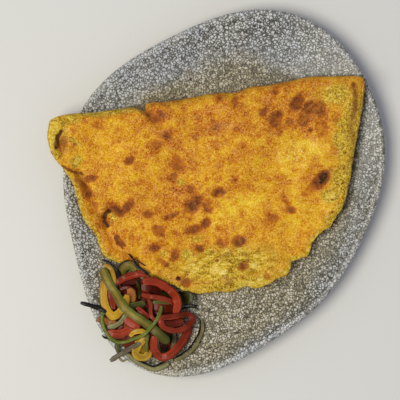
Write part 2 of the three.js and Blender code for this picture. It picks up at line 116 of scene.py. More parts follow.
# Zones of the top, each a place, half length, half width and lean in degrees. Browned spots also say
# how dark they are, zones that stayed pale how pale, and toasted ones how much more they were fried.
SPOTS = [
    (72.5, 4.5, 7.4, 4.4, 42, 1.25), (74.8, 6.9, 5.4, 4, 55, 2.15), (65.5, -1, 8, 3.6, 38, 0.75),
    (-2, -3.7, 5, 3.6, 15, 1.15), (-21.5, -13.5, 9, 6.5, 40, 0.8), (-21.5, -14.5, 3.6, 4.6, 20, 1.15),
    (-17, -8.5, 4, 3.4, 0, 0.75), (-10, -14, 4.2, 5.6, 25, 0.85), (-23, -1.5, 3.8, 3.2, 30, 0.75),
    (-24, -22.5, 3.4, 2.2, -50, 0.6), (-11.5, -26.5, 4.8, 3.6, 45, 0.95),
    (-19.5, -31, 6.4, 3.4, 15, 0.95), (-46.5, -32, 4.8, 4.2, 0, 1.1), (-34, -33, 3, 3, 0, 0.45),
    (-54, -20, 4.2, 3.2, 0, 0.95), (-37, -21, 6.5, 2.6, 25, 0.7), (-69, -14, 6.5, 3, 52, 1.4),
    (-75.5, -18.5, 4.4, 3, -40, 1.1), (-42.5, -55.5, 5.5, 2.2, -35, 0.85),
    (-66, -36.5, 2.4, 2.4, 0, 0.7), (-95, -19, 2, 2.4, 0, 0.5), (-75, -40, 6, 2.6, -50, 1.05),
    (12.5, -39.5, 5, 4.4, 0, 1.1), (1, -40.8, 4.8, 4, 0, 0.75), (3, -29.5, 3, 3, 0, 0.42),
    (38, -23, 4.8, 3.6, -10, 0.95), (51.5, -16.5, 4.4, 3.6, 0, 0.9), (47, -8.5, 5, 2.6, -60, 0.7),
    (55.6, 62.4, 7.8, 4.4, 62, 1.05), (40.5, 50.5, 7.5, 4.4, 65, 0.95), (42.5, 41, 4.2, 3, 40, 0.5),
    (65.5, 58.5, 6.8, 5.4, 20, 0.7), (60.7, 49.6, 5.4, 6.4, 0, 0.62), (74, 54, 15, 4.2, 98, 0.62),
    (74, 43, 8, 6, 100, 0.6), (48.5, 46, 6, 3.2, 40, 0.6), (65.8, 42, 1.9, 1.7, 0, 0.95),
    (31, 55.5, 4.6, 3.4, 40, 0.8), (40.5, 71, 4.4, 3.4, 60, 0.75), (60, 77, 4.5, 1.6, 60, 0.6),
    (47, 76, 5, 2.6, 10, 0.4), (86, 53, 4, 4, 0, 0.5), (83, 27, 3, 3.6, 0, 0.5),
    (27, 38, 4, 3.4, 0, 0.45), (38.5, 23, 3.4, 3.4, 0, 0.4), (8.5, 18.5, 3, 4, 0, 0.55),
    (10.5, 8.5, 3, 5, 0, 0.5), (17.5, -2.5, 3.4, 3.4, 0, 0.45), (10, 63.5, 4.6, 3, 80, 0.85),
    (-2.3, 65, 4.5, 2.4, 80, 0.55), (-7, 46, 7.5, 5.5, 20, 0.5), (11, 41, 5, 4, 0, 0.4),
    (-32, 18, 7, 5.2, 115, 0.75), (-35.5, 7.6, 3.6, 3.2, 0, 0.7), (-47.5, 31, 4.4, 3.6, 0, 1),
    (-39.5, 39, 4.6, 3.8, 30, 0.72), (-67.5, 19.5, 4, 2.8, 50, 1.05), (-90.5, 45, 4.2, 3.4, 0, 0.6),
    (-74, 43, 5, 3.6, 10, 0.5), (-62, 39, 3.2, 3, 0, 0.4), (16, 31, 4, 3.4, 0, 0.5),
    (-49, -44.5, 4.4, 3.4, 0, 0.85), (-34, -50.5, 4.6, 3, 70, 1.05), (-16, -45, 3.4, 2.2, -30, 1.45),
    (-26, -70.5, 4.2, 3.4, 0, 0.9), (16, -59, 4.4, 3.2, 20, 0.75), (34, -65.5, 3.6, 3, 0, 0.5),
    (-88, -28, 5, 3, -60, 0.6), (-83, -40, 5, 2.6, -60, 0.55), (-93, -13, 5, 3, -60, 0.6),
    (-99, -3, 6, 4.5, -60, 0.55), (-48, 52, 7, 5.5, 0, 0.95), (-76, 32, 3, 2.4, 0, 0.5),
    (-116.5, 32, 8, 4, 80, 0.7), (-96, 6.5, 6, 2.6, 5, 0.95), (-80, -13.5, 6, 3, 10, 0.6),
    (-31.8, -67.2, 1.5, 1.2, 0, 3.6), (-3, -54, 1.1, 1, 0, 1.6), (82, -18, 1, 0.9, 0, 1.5),
    (-107.5, 31.5, 1.2, 1, 0, 1.1),
]
PALE_ZONES = [
    (94, 42, 38, 12, 82, 1.15), (91, 8, 26, 13, 70, 1.15), (84, 68, 17, 9, 5, 1.2),
    (3, -58, 48, 17, 6, 1.2), (12, -71, 46, 6, 8, 1.2), (52, -60, 26, 4, 28, 1.1),
    (-30, 4, 3.2, 3, 0, 1.3), (13.6, -8.5, 2.4, 6, 10, 0.7), (-18.5, -38, 6, 4, 0, 0.9),
    (-16, -37, 9, 5, 0, 0.6), (-26, -50, 5, 6, 60, 1.3), (-20, -61, 8, 5, 15, 1.4),
    (-8.5, -48, 5, 3.5, -20, 1.4), (-42.5, -49, 3.5, 3, 0, 1.1), (-106.5, 19, 4.6, 3.2, 60, 1.9),
    (-108, 34, 7, 1.6, -40, 1.3), (-90, 55, 34, 3.2, 5, 1.35), (-112, 50, 11, 5, 10, 1.25),
    (86, -22, 18, 9, 55, 1.3), (73, -43, 16, 7, 40, 1), (-122, 38, 9, 18, 0, 1.9),
    (80, -6, 7, 6, 0, 1.6), (88, 36, 10, 7, 80, 1.5), (-79.5, -21.5, 5, 4, -50, 0.95),
]
# The zone at (57, 26), made lighter, is a painted highlight where the glossy zone catches the light.
TOASTED = [
    (-16, 45, 46, 18, 6, 0.07), (-82, 32, 26, 16, 0, -0.06), (57, 26, 18, 10, 12, -0.19),
    (10, -14, 22, 10, 10, -0.16), (-10, 20, 60, 30, 0, -0.015), (58, -20, 26, 18, 40, -0.1),
    (-30, -8, 14, 12, 0, 0.1), (58, 60, 22, 13, 0, 0.08), (-80, -36, 26, 9, -62, 0.03),
]
# The glossy zone, which is wet with fat and carries painted glints, and the curdled one along the open edge.
WET = (57, 26, 20, 10, 12)
CURDS = (0, -58, 46, 18, 6)
# Creases where one leaf tucks under another, dented and darkened with painted shade: route, half width, and
# how dark.
CREASES = [
    ([(-117, 15.8), (-112, 12.8), (-107, 10.6), (-102, 9.8)], 1.2, 0.9),
    ([(-107, 10.8), (-102.5, 9.8)], 1.9, 0.9),
    ([(-106, 6), (-101, 1), (-97, -5)], 4.2, 0.72),
    ([(-98, -5), (-94, -13), (-92, -22)], 3, 0.35),
    ([(-84, -28.5), (-86.5, -25), (-86, -20), (-83, -17)], 1.8, 1.5),
    ([(-83, -17), (-78, -15), (-74, -18)], 3.6, 0.8),
    ([(-92, -18), (-88, -24)], 1.6, 0.5),
    ([(-117.8, 40.8), (-120.2, 37.5), (-121.2, 33), (-121, 29)], 1.5, 1.95),
    ([(-116, 48), (-114.5, 44)], 0.8, 0.6),
    ([(-79, -37), (-76, -41), (-73, -45)], 1.1, 0.8),
    ([(97, 76), (98.5, 66), (98, 58), (96.5, 51)], 2.8, 0.78),
    ([(97, 56), (95.5, 46), (96, 34)], 2.8, 0.62),
    ([(101, 78), (102.5, 68)], 1, 0.45),
    ([(95, 30), (93, 18), (91, 10)], 1.4, 0.3),
    ([(-55.5, 56), (-52, 50), (-46, 46)], 2, 0.45),
]

# Every shred, the lowest first: kind, width, thickness, its route, and whether it is a ring.
SHREDS = [
    ("skin", 1.1, 1.2, [(-30, -90), (-25, -89), (-19, -89), (-17, -91)]),
    ("skin", 1.1, 1.2, [(-28, -87), (-23, -87), (-18, -88)]),
    ("leaf", 8.9, 1.6, [(-35, -82), (-29, -82), (-25, -81), (-21, -82)]),
    ("pale", 2.6, 1.4, [(-14, -98), (-14, -106), (-17, -114), (-22, -121), (-28, -125), (-35, -128)]),
    ("skin", 1, 1.6, [(-16, -97), (-16, -105), (-19, -112), (-24, -119), (-29, -123), (-36, -127)]),
    ("pale", 3.7, 1.8, [(-71, -122), (-67, -125), (-62, -129), (-56, -132), (-50, -134), (-45, -133),
     (-39, -130)]),
    ("skin", 1, 1.6, [(-67, -123), (-62, -127), (-56, -130), (-50, -132), (-45, -130), (-41, -128)]),
    ("pale", 1.9, 1.6, [(-76, -125), (-73, -128), (-70, -127)]),
    ("leaf", 3.7, 1.8, [(-77, -113), (-77, -117), (-76, -122)]),
    ("skin", 1.9, 1.6, [(-88, -109), (-86, -111), (-82, -111)]),
    ("orange", 5.2, 3, [(-92, -97), (-88, -98), (-82, -100), (-76, -101)]),
    # The shaded red shreds are red pepper darkened as painted shade in the heap's gaps.
    ("maroon", 6.7, 3, [(-57, -68), (-56, -74), (-55, -81)]),
    ("maroon", 8.9, 2.6, [(-51, -85), (-43, -89), (-36, -90)]),
    ("maroon", 4.4, 3, [(-33, -83), (-32, -92), (-31, -102)]),
    ("maroon", 4.4, 3, [(-47, -99), (-40, -102), (-33, -103)]),
    ("maroon", 6.5, 2.6, [(-46, -100), (-38, -101), (-28, -99)]),
    ("maroon", 7, 2.4, [(-44, -108), (-42, -115), (-38, -120)]),
    ("red", 6.7, 3.2, [(-84, -107), (-76, -108), (-70, -106), (-62, -102)]),
    ("red", 5.9, 3.2, [(-71, -95), (-67, -99), (-60, -103)]),
    ("yellow", 6, 1.8, [(-62, -112), (-59, -117), (-57, -123)]),
    ("yellow", 5.2, 3, [(-56, -110), (-60, -115), (-63, -120), (-62, -124), (-56, -125), (-52, -120)]),
    ("olive", 3, 2, [(-54, -106), (-55, -114), (-55, -121)]),
    ("pale", 2.6, 2, [(-46, -108), (-47, -115), (-45, -122)]),
    ("skin", 3, 1.8, [(-42, -109), (-42, -116), (-41, -122)]),
    ("pale", 3.3, 2, [(-35, -106), (-35, -114), (-37, -121)]),
    ("red", 5.9, 3.8, [(-23, -99), (-25, -106), (-28, -113), (-33, -119), (-39, -124), (-45, -125),
     (-49, -120), (-50, -115), (-49, -109)]),
    ("yellow", 3.7, 2.4, [(-67, -109), (-64, -106), (-59, -105), (-55, -106)]),
    ("pale", 3.7, 1.8, [(-84, -103), (-79, -102), (-74, -99), (-71, -95), (-69, -91)]),
    ("maroon", 6.5, 2, [(-76, -69), (-69, -70), (-61, -69)]),
    ("maroon", 4.4, 3, [(-76, -73), (-73, -77), (-68, -81)]),
    ("maroon", 3.4, 2.6, [(-76, -79), (-73.5, -75), (-69, -74), (-66, -76)]),
    ("orange", 6.2, 2.8, [(-68, -74.5), (-66, -78.5), (-65, -84)]),
    ("leaf", 2.6, 1.8, [(-63, -69), (-61, -75), (-60.5, -82)]),
    ("leaf", 5.9, 1.8, [(-68, -87), (-62, -87), (-56, -85)]),
    ("red", 4.4, 3, [(-62, -88), (-58, -92), (-53, -96)]),
    ("leaf", 1.9, 1.8, [(-52, -77), (-45, -78), (-38, -81)]),
    ("leaf", 3, 1.8, [(-52, -85), (-45, -84), (-37, -85)]),
    ("maroon", 7.5, 1.2, [(-59, -73.5), (-51, -74), (-44, -77)]),
    ("red", 3, 3, [(-54, -82), (-52, -86), (-52, -91), (-51, -95), (-47, -99)]),
    ("red", 3.7, 3, [(-59, -79), (-53, -80), (-46, -81), (-39, -83), (-33, -86)]),
    ("olive", 6.4, 1.4, [(-74, -65), (-72.5, -59.5), (-67.5, -57.5), (-63, -61)]),
    ("red", 5.2, 3.6, [(-78, -71), (-72, -67), (-65, -64.5), (-59, -63.7), (-55, -65.5)]),
    ("red", 6.2, 3.8, [(-58, -69), (-51, -69), (-45, -71), (-39, -75), (-34, -80), (-32, -86),
     (-34, -93)]),
    ("red", 4.1, 3.8, [(-44, -96), (-36, -95), (-30, -94), (-24, -94), (-21, -98), (-24, -102),
     (-30, -105), (-37, -105), (-43, -102)], True),
    ("red", 5.9, 3, [(-82, -73), (-81, -81), (-80, -90)]),
    ("skin", 3, 1.8, [(-77.5, -60), (-76.5, -64), (-75.5, -69)]),
    ("yellow", 3.7, 2.2, [(-87, -57), (-82, -60), (-80, -65), (-79, -72)]),
    ("yellow", 5.8, 3, [(-86, -68), (-87, -75), (-87, -82), (-85, -89), (-80, -95), (-75, -92),
     (-71, -86), (-69, -79)]),
    ("skin", 3.3, 2.4, [(-104, -85), (-97, -87), (-91, -89), (-85, -92)]),
    ("skin", 1.7, 1.2, [(-88.5, -53.5), (-84, -55.5), (-80, -58.5), (-77, -61)]),
    ("skin", 1.1, 1.2, [(-77, -60), (-75, -57), (-72.5, -55), (-68, -53.5)]),
    ("skin", 1.3, 1.4, [(-68.5, -49), (-65.5, -52.5), (-63, -56), (-61.5, -59)]),
    ("skin", 2.5, 1.6, [(-65, -53), (-62.5, -57.5), (-59.5, -60.5), (-54, -64)]),
    ("skin", 0.9, 1.2, [(-64, -52.5), (-60, -55.5), (-56, -58)]),
    ("seeded", 3.8, 2, [(-82, -128), (-76, -124), (-71, -121), (-65, -117), (-59, -114)]),
    ("olive", 6.7, 2.4, [(-88, -60), (-85, -67), (-81, -74), (-76, -81), (-71, -88), (-65, -93),
     (-59, -97), (-52, -102), (-45, -108), (-39, -114)]),
    ("green", 2.7, 2.2, [(-88, -92), (-88, -99), (-86, -105), (-82, -111), (-77, -114), (-71, -114),
     (-64, -111), (-57, -108), (-52, -103), (-48, -98), (-45, -92), (-44, -87)]),
]
# Shreds that are pepper, or look like it: the material, and how dark the skin is beside the flesh.
PEPPERS = {
    "red": ("red_pepper", 0.6), "orange": ("orange_pepper", 0.7), "yellow": ("yellow_pepper", 0.75),
    "green": ("green_pepper", 0.4), "leaf": ("green_skin", 0.5), "skin": ("dark_skin", 0.5),
}
# Shreds deeper in the heap, which show between the others: how many of each kind, and their sizes.
BURIED = {"maroon": 28, "leaf": 3, "red": 8, "olive": 2, "skin": 1, "orange": 2}
BURIED_SEED, BURIED_REACH, BURIED_HALF = 41, 15, (6, 10)
BURIED_WIDTH, BURIED_THICKNESS = (3.2, 5.6), (1.6, 2.4)
HEAP_MIDDLE, HEAP_RADIUS, HEAP_RISE = (-56, -97), 26, 10
# The map on which shreds are laid, the air under one, how far it is pressed in, and how it bends.
MAP_X, MAP_Y, MAP_CELL = (-122, 4), (-150, -36), 0.5
CLEARANCE, PRESS, STATION, STIFFNESS, SETTLING, END_TAPER = 0.9, 0.45, 1.0, 26, 8, 3.5
UNEVENNESS = 0.26

# Fixed colours of the shaders: the painted shade low in the heap, the egg's painted glints of fat, and the
# dark and light of the grains, which on the egg are partly painted sheen.
PAINTED_DEPTH_SHADE, PAINTED_GLINT = (0.56, 0.4, 0.3, 1), (1.0, 0.84, 0.24, 1)
EGG_GRAIN_AND_SHEEN = (0.22, 0.265, 0.388, 1), (0.78, 0.741, 0.612, 1)
SHRED_GRAIN = (0.6, 0.6, 0.5, 1), (1.4, 1.4, 1.5, 1)

# The stage: the table's side, the lamp's place in metres and its colour, the room's colour, and the
# square view's side and middle.
TABLE_SIDE, KEY_PLACE, KEY_COLOUR = 4800, (-0.72, -0.18, 1.6), (1.0, 0.98, 0.87)
ROOM_COLOUR = (0.8, 0.85, 1.06, 1)
VIEW_SIDE, VIEW_MIDDLE, SENSOR = 296, (-15.8, -9.2), 36.0


# ---- sizes and colours that a user would change ----


def picked(name, description, red, green, blue):
    """A colour picked on the usual 0 to 255 scale."""
    default = (red / 255, green / 255, blue / 255)
    return bpy.props.FloatVectorProperty(
        name=name, description=description, subtype="COLOR_GAMMA", size=3, min=0, max=1, default=default
    )


def measured(name, description, millimetres):
    """A length."""
    return bpy.props.FloatProperty(
        name=name, description=description, unit="LENGTH", min=0, default=millimetres * MM
    )


def counted(name, description, least, default):
    """A whole number."""
    return bpy.props.IntProperty(name=name, description=description, min=least, default=default)


class PlateSettings(bpy.types.PropertyGroup):
    """Sizes and colours of the plate"""

    wall: measured("Wall", "Thickness of the plate's wall", 2 * LIP_RADIUS)
    grain: measured("Grain", "Size of a speckle in the glaze", 2.15)
    columns: counted("Columns", "Faces round the plate", 24, 288)
    pale: picked("Pale grain", "Palest grains of the glaze", 212, 211, 205)
    middle: picked("Grain", "Usual grains of the glaze", 142, 140, 129)
    dark: picked("Dark ground", "Between the grains of the glaze", 52, 48, 32)
    # Partly the glaze's own olive tone, partly a painted reflection of the food in the well.
    well: picked("Well", "Olive cast of the glaze in the well", 232, 217, 177)
    # Painted reflection: a bluish cast of the window light on parts of the rim.
    blue: picked("Blue cast", "Cast of the glaze on parts of the rim", 214, 224, 246)
    clay: picked("Clay", "Bare clay of the foot", 196, 184, 166)


class OmeletteSettings(bpy.types.PropertyGroup):
    """Sizes and colours of the omelette"""

    fold_thickness: measured("At the fold", "Thickness along the fold", 22)
    open_thickness: measured("At the open edge", "Thickness along the open edge", 12.5)
    leaf_thickness: measured("Leaf", "Thickness of the lower leaf's border", 5)
    cells: counted("Cells", "Faces across the omelette's top", 20, 210)
    bright: picked("Bright", "Yellowest grain of the fried top", 248, 212, 66)
    golden: picked("Golden", "The fried top", 229, 166, 38)
    orange: picked("Orange", "Where it is fried more", 199, 115, 34)
    brown: picked("Brown", "The browned spots", 140, 74, 34)
    # Used for the darkest spots and also for the painted shade in the creases.
    burnt_and_shade: picked("Burnt", "The darkest spots and creases", 56, 30, 16)
    olive: picked("Olive", "Folds and edges in shade", 168, 130, 36)
    pale: picked("Pale", "Edges and folds that touched no pan", 218, 180, 52)
    white: picked("White", "Set white that shows here and there", 238, 216, 128)


class ShredSettings(bpy.types.PropertyGroup):
    """Fineness and colours of the shreds"""

    step: measured("Step", "Length of one facet of a shred", 1.1)
    sides: counted("Sides", "Faces round a shred", 8, 16)
    red: picked("Red pepper", "Cut face of the red pepper", 158, 55, 27)
    orange: picked("Orange pepper", "Cut face of the orange pepper", 166, 102, 42)
    yellow: picked("Yellow pepper", "Cut face of the yellow pepper", 200, 156, 44)
    green: picked("Green pepper", "Cut face of the green pepper", 112, 120, 42)
    courgette: picked("Courgette", "Flesh of the courgette", 146, 128, 52)
    olive: picked("Olive", "Green edge of the courgette", 100, 106, 38)
    leaf: picked("Leaf green", "Skin side of the green pepper", 88, 90, 36)
    pale: picked("Pale courgette", "Pale flesh of the courgette", 147, 141, 94)
    seeded: picked("Aubergine", "Flesh of the aubergine", 114, 100, 74)
    skin: picked("Dark skin", "Skin of the aubergine", 22, 20, 12)


class StageSettings(bpy.types.PropertyGroup):
    """The camera, the lights and the table"""

    camera_height: measured("Camera height", "Camera above the plate's rim", 1300)
    elevation: bpy.props.FloatProperty(
        name="Elevation",
        description="Camera's angle above the table",
        subtype="ANGLE",
        default=math.radians(89),
    )
    key_power: bpy.props.FloatProperty(
        name="Key light", description="Power of the window light", unit="POWER", default=20.6
    )
    fill: bpy.props.FloatProperty(
        name="Fill", description="Strength of the light from all round", min=0, default=0.42
    )
    floor: picked("Table", "The table top", 226, 223, 214)


SETTINGS = {
    "omelette_plate": PlateSettings,
    "omelette_egg": OmeletteSettings,
    "omelette_shreds": ShredSettings,
    "omelette_stage": StageSettings,
}


# ---- shapes as formulas, in millimetres and degrees ----


def smooth(low, high, x):
    """0 below the low value, 1 above the high one, and an S curve between them."""
    t = np.clip((x - low) / (high - low), 0, 1)
    return t * t * (3 - 2 * t)


def mix(a, b, share):
    return a + (b - a) * share


def bell(distance, width):
    """1 at no distance, about a third at the width, and 0 far off."""
    return np.exp(-((distance / width) ** 2))


def cosine(degrees):
    return np.cos(np.radians(degrees))


def sine(degrees):
    return np.sin(np.radians(degrees))


def polar(x, y):
    """A place as its distance and direction."""
    return np.hypot(x, y), np.degrees(np.arctan2(y, x))


def place_at(middle, r, degrees):
    """The place at a distance and in a direction from another one."""
    return middle[0] + r * cosine(degrees), middle[1] + r * sine(degrees)


def turn(start, end):
    """The turn from one direction to another, from -180 to 180 degrees."""
    return (end - start + 180) % 360 - 180


def span(degrees, start, end, soft):
    """1 between two directions, falling to 0 over the softness on either side."""
    half = (end - start) / 2
    return 1 - smooth(half, half + soft, np.abs(turn(start + half, degrees)))


def spans(table, degrees):
    """Rows of spans added up, each times its last value."""
    return sum(far * span(degrees, start, end, soft) for start, end, soft, far in table)


def ripples(x, y, size, seed):
    """Smooth random heights from -1 to 1, with bumps of about this size."""
    table = np.random.default_rng(seed).uniform(-1, 1, (64, 64))
    angle = seed * 1.3
    u = (x * math.cos(angle) + y * math.sin(angle)) / size + 31.7
    v = (y * math.cos(angle) - x * math.sin(angle)) / size + 17.3
    i, j = np.floor(u).astype(int), np.floor(v).astype(int)
    a, b = smooth(0, 1, u - i), smooth(0, 1, v - j)
    low = mix(table[i % 64, j % 64], table[(i + 1) % 64, j % 64], a)
    high = mix(table[i % 64, (j + 1) % 64], table[(i + 1) % 64, (j + 1) % 64], a)
    return mix(low, high, b)


def bumps(table, x, y):
    """Random heights of several sizes, one on another."""
    return sum(far * ripples(x, y, size, seed) for far, size, seed in table)


def plate_radius(degrees):
    """The plate's outline."""
    return PLATE_RADIUS + sum(
        far * cosine(times * (degrees - peak)) for times, far, peak in PLATE_LOBES
    )


def plate_top(x, y):
    """The plate's upper face: a flat well that turns up towards the rim."""
    r, degrees = polar(x, y)
    share = r / (plate_radius(degrees) - LIP_RADIUS)
    rise = np.clip((share - WELL_SHARE) / (1 - WELL_SHARE), 0, 1)
    return mix(WELL_HEIGHT, RIM_HEIGHT, rise**2)


def rest_height(x, y):
    """Underside of the omelette, which lies on the plate and droops past its rim."""
    r, degrees = polar(x, y)
    beyond = r - plate_radius(degrees)
    lift = REST_GAP + RIM_GAP * bell(beyond + 5, 12)
    return plate_top(x, y) + lift - OVERHANG_DROOP * np.maximum(0, beyond - 4) ** 2


def edge_radius(degrees):
    """Radius of the lower leaf: the soft minimum of the distances to its sides."""
    total = 0
    for faces, distance in SIDES:
        total = total + np.maximum(0, cosine(degrees - faces) / distance) ** CORNER_SHARPNESS
    out = sum(height * bell(turn(at, degrees), width) for at, width, height in EDGE_BUMPS)
    return total ** (-1 / CORNER_SHARPNESS) + out


def fine_edge(degrees):
    """Small ragged departures of the outline, which closes on itself, and the most on its front."""
    rough = sum(far * sine(times * degrees + at) for times, far, at in RAGGED_WAVES)
    return rough * (0.3 + 0.7 * span(degrees, 236, 340, 14))


def openness(degrees):
    """1 where the two leaves are apart, 0 along the fold."""
    apart = 1 - span(degrees, *FOLD_SPAN)
    return np.where(apart < 0.05, 0, apart)


def turned(x, y, lean):
    """A place in axes that lean by an angle."""
    c, s = math.cos(math.radians(lean)), math.sin(math.radians(lean))
    return x * c + y * s, y * c - x * s


def from_fold(x, y):
    """Distance from the fold line and from its middle."""
    faces, distance = SIDES[0]
    out, side = turned(x - MIDDLE[0], y - MIDDLE[1], faces)
    return distance - out, np.abs(side)


def from_zone(x, y, zone):
    """Distance from a zone's middle, 1 at its half length and at its half width."""
    at_x, at_y, along, across, lean = zone
    u, v = turned(x - at_x, y - at_y, lean)
    return np.hypot(u / along, v / across)


def inside(x, y, zone):
    """1 in the middle of a zone, falling off past its half length and half width."""
    return bell(from_zone(x, y, zone), 1)


class Omelette:
    """Heights and rounded edges of the omelette, worked out from its settings."""

    def __init__(self, settings):
        self.fold = settings.fold_thickness / MM
        self.open_edge = settings.open_thickness / MM
        self.leaf = settings.leaf_thickness / MM

    def thickness(self, x, y):
        """From the underside to the top, without the fine bumps."""
        inward, along = from_fold(x, y)
        full = (1 - smooth(*FOLD_FALL, inward)) * (1 - END_DROP * smooth(*FOLD_ENDS, along))
        relief = -SLUMP * (plate_top(x, y) - WELL_HEIGHT)
        x, y = x - MIDDLE[0], y - MIDDLE[1]
        for at_x, at_y, radius, height in TOP_RELIEF:
            relief = relief + height * bell(np.hypot(x - at_x, y - at_y), radius)
        for i in range(SWELLS):
            length = LONGEST_SWELL / (1 + 0.42 * i)
            along, _ = turned(x, y, SWELL_TURN * i)
            relief = relief + SWELL_SHARE * length * np.sin(TURN * along / length + 1.7 * i)
        return mix(self.open_edge, self.fold, full) + relief

    def edges(self, degrees, ragged=True):
        """The measures of the rounded edges in each direction."""
        apart = openness(degrees)
        outer = edge_radius(degrees) + (fine_edge(degrees) if ragged else 0)
        upper = outer - spans(LEAF_STEPS, degrees) * smooth(0, 0.4, apart)

        def rest(r):
            return rest_height(*place_at(MIDDLE, r, degrees))

        def top(r):
            return rest(r) + self.thickness(*place_at(MIDDLE, r, degrees))

        curl = spans(CURLS, degrees)
        rounding = mix(*TOP_ROUNDING, apart)
        shoulder = upper - rounding
        nose = rest(outer) + NOSE_SHARE * (top(shoulder) - rest(outer))
        tip = mix(nose, rest(upper) + self.leaf + LEAF_GAP + TIP_RISE, apart)
        low_tip = mix(nose, rest(outer) + self.leaf / 2 + 0.55 * curl, apart)
        return SimpleNamespace(
            open=apart, outer=outer, upper=upper, rest=rest, top=top, rounding=rounding,
            shoulder=shoulder, tip=tip, low_tip=low_tip, curl=curl * apart,
        )

    def rings(self, e):
        """The rings below the top, from the upper leaf's shoulder to its underside."""

        def floor(r):
            return np.minimum(e.tip, mix(e.tip, e.rest(r) + self.leaf, e.open))

        made = []
        drop = e.top(e.shoulder) - e.tip
        for a in SHOULDER:
            made.append((e.shoulder + e.rounding * cosine(a), e.tip + drop * sine(a)))
        lip = LIP_ROUNDING * e.open
        for a in [-30, -60, -90]:
            made.append((e.upper - lip + lip * cosine(a), e.tip + 1.1 * lip * sine(a)))
        inner = e.upper - SLIT_DEPTH * e.open
        border = np.maximum(0, e.outer - e.upper) + 1.5 * e.open
        edge = e.outer - lip
        made.append((inner, mix(e.tip, floor(inner) + 1, e.open)))
        made.append((inner - 0.5 * e.open, floor(inner)))
        for share in [1, 0.75, 0.5, 0.25]:
            r = edge - share * border
            made.append((r, floor(r) + e.curl * (1 - share) ** 1.2))
        rise = floor(edge) + e.curl - e.low_tip
        for a in [90, 60, 30, 0]:
            made.append((edge + lip * cosine(a), e.low_tip + rise * sine(a)))
        rounding = mix(10, LIP_ROUNDING, e.open)
        fall = e.low_tip - e.rest(e.outer - rounding)
        for a in [25, 50, 75]:
            r = e.outer - rounding * (1 - cosine(a))
            made.append((r, np.maximum(e.low_tip - fall * sine(a), e.rest(r))))
        for share in UNDERSIDE:
            r = (e.outer - rounding) * share
            made.append((r, e.rest(r)))
        return made

    def served_height(self, x, y):
        """Height of whatever food or dish lies under a shred."""
        r, degrees = polar(x - MIDDLE[0], y - MIDDLE[1])
        e = self.edges(degrees, ragged=False)
        out = np.clip((r - e.shoulder) / e.rounding, 0, 1)
        crown = mix(e.tip, e.top(np.minimum(r, e.shoulder)), np.sqrt(1 - out * out))
        height = np.where(r > e.upper + 1, e.rest(r) + self.leaf + 1, crown)
        return np.where(r > e.outer + 1, plate_top(x, y), height)


# ---- meshes ----


def add_object(name, data):
    """An object at the origin, in the scene."""
    made = bpy.data.objects.new(name, data)
    bpy.context.scene.collection.objects.link(made)
    return made


def add_mesh(name, points, edges, faces):
    """A mesh object, its points given in millimetres."""
    mesh = bpy.data.meshes.new(name)
    mesh.from_pydata([tuple(p) for p in np.asarray(points) * MM], edges, faces)
    return add_object(name, mesh)


def store(piece, name, values, kind="FLOAT", key="value"):
    """Keeps something for each point of a piece, for its material or its geometry tree."""
    attribute = piece.data.attributes.new(name, kind, "POINT")
    attribute.data.foreach_set(key, np.asarray(values, np.float32).ravel())


def finish_piece(piece, material, node):
    """Gives a piece its material, and says what it rides on and the node it stands for."""
    piece.data.materials.clear()
    piece.data.materials.append(material)
    piece.data.polygons.foreach_set("use_smooth", [True] * len(piece.data.polygons))
    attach(piece, BODY)
    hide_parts(node)


def edit_mesh(piece, change):
    """Runs a change on a piece's mesh."""
    mesh = bmesh.new()
    mesh.from_mesh(piece.data)
    change(mesh)
    mesh.to_mesh(piece.data)
    mesh.free()


def weld(mesh):
    """Merges doubled points and drops the faces that this empties."""
    bmesh.ops.remove_doubles(mesh, verts=mesh.verts, dist=0.01 * MM)
    bmesh.ops.dissolve_degenerate(mesh, edges=mesh.edges, dist=0.001 * MM)


def face_outwards(mesh):
    """Turns every face outwards."""
    bmesh.ops.recalc_face_normals(mesh, faces=mesh.faces)


def disc_grid(cells):
    """A square grid drawn onto a disc: share of the radius and direction of each point."""
    line = np.linspace(-1, 1, cells + 1)
    a, b = np.meshgrid(line, line, indexing="ij")
    wide = np.abs(a) > np.abs(b)
    share = np.where(wide, a, b)
    angle = np.where(wide, 45 * b / np.where(a == 0, 1, a), 90 - 45 * a / np.where(b == 0, 1, b))
    return np.abs(share).ravel(), (np.where(share < 0, angle + 180, angle) % 360).ravel()


def border_of(grid):
    """A square grid's border, in order of direction."""
    return np.concatenate([grid[-1, :-1], grid[::-1, -1][:-1], grid[0, ::-1][:-1], grid[:-1, 0]])


def band(ring, after):
    """The faces between a ring of points and the ring after it."""
    return np.stack([ring, after, np.roll(after, -1), np.roll(ring, -1)], -1).tolist()


def egg_relief(x, y):
    """Bubbles and wrinkles of the fried surface, in millimetres."""
    inward, _ = from_fold(x, y)
    height = bumps(EGG_BUMPS, x, y)
    ridges = 1 - 2 * np.abs(ripples(0.55 * x - 0.1 * y, y + 0.15 * x, 5.5, 12))
    folds = 1 - 2 * np.abs(ripples(x, y, 8, 14))
    height = height + inside(x, y, CURDS) * (0.9 * ridges + 0.7 * folds)
    height = height + 0.4 * bell(inward - 132, 16) * ripples(0.5 * x, y, 6, 17)
    for *zone, depth in SPOTS:
        d = from_zone(x, y, zone)
        height = height - 0.45 * min(depth, 1.1) * bell(d, 1.0) + 0.22 * bell(d - 1.5, 0.4)
    return height


def crease_depth(x, y):
    """How deep a point lies in one of the creases, which are dented and get painted shade."""
    deep = 0
    for route, width, much in CREASES:
        nearest = 1e9
        for (ax, ay), (bx, by) in zip(route, route[1:]):
            length = (bx - ax) ** 2 + (by - ay) ** 2
            t = np.clip(((x - ax) * (bx - ax) + (y - ay) * (by - ay)) / length, 0, 1)
            nearest = np.minimum(nearest, np.hypot(x - mix(ax, bx, t), y - mix(ay, by, t)))
        deep = np.maximum(deep, much * bell(nearest, width))
    return deep


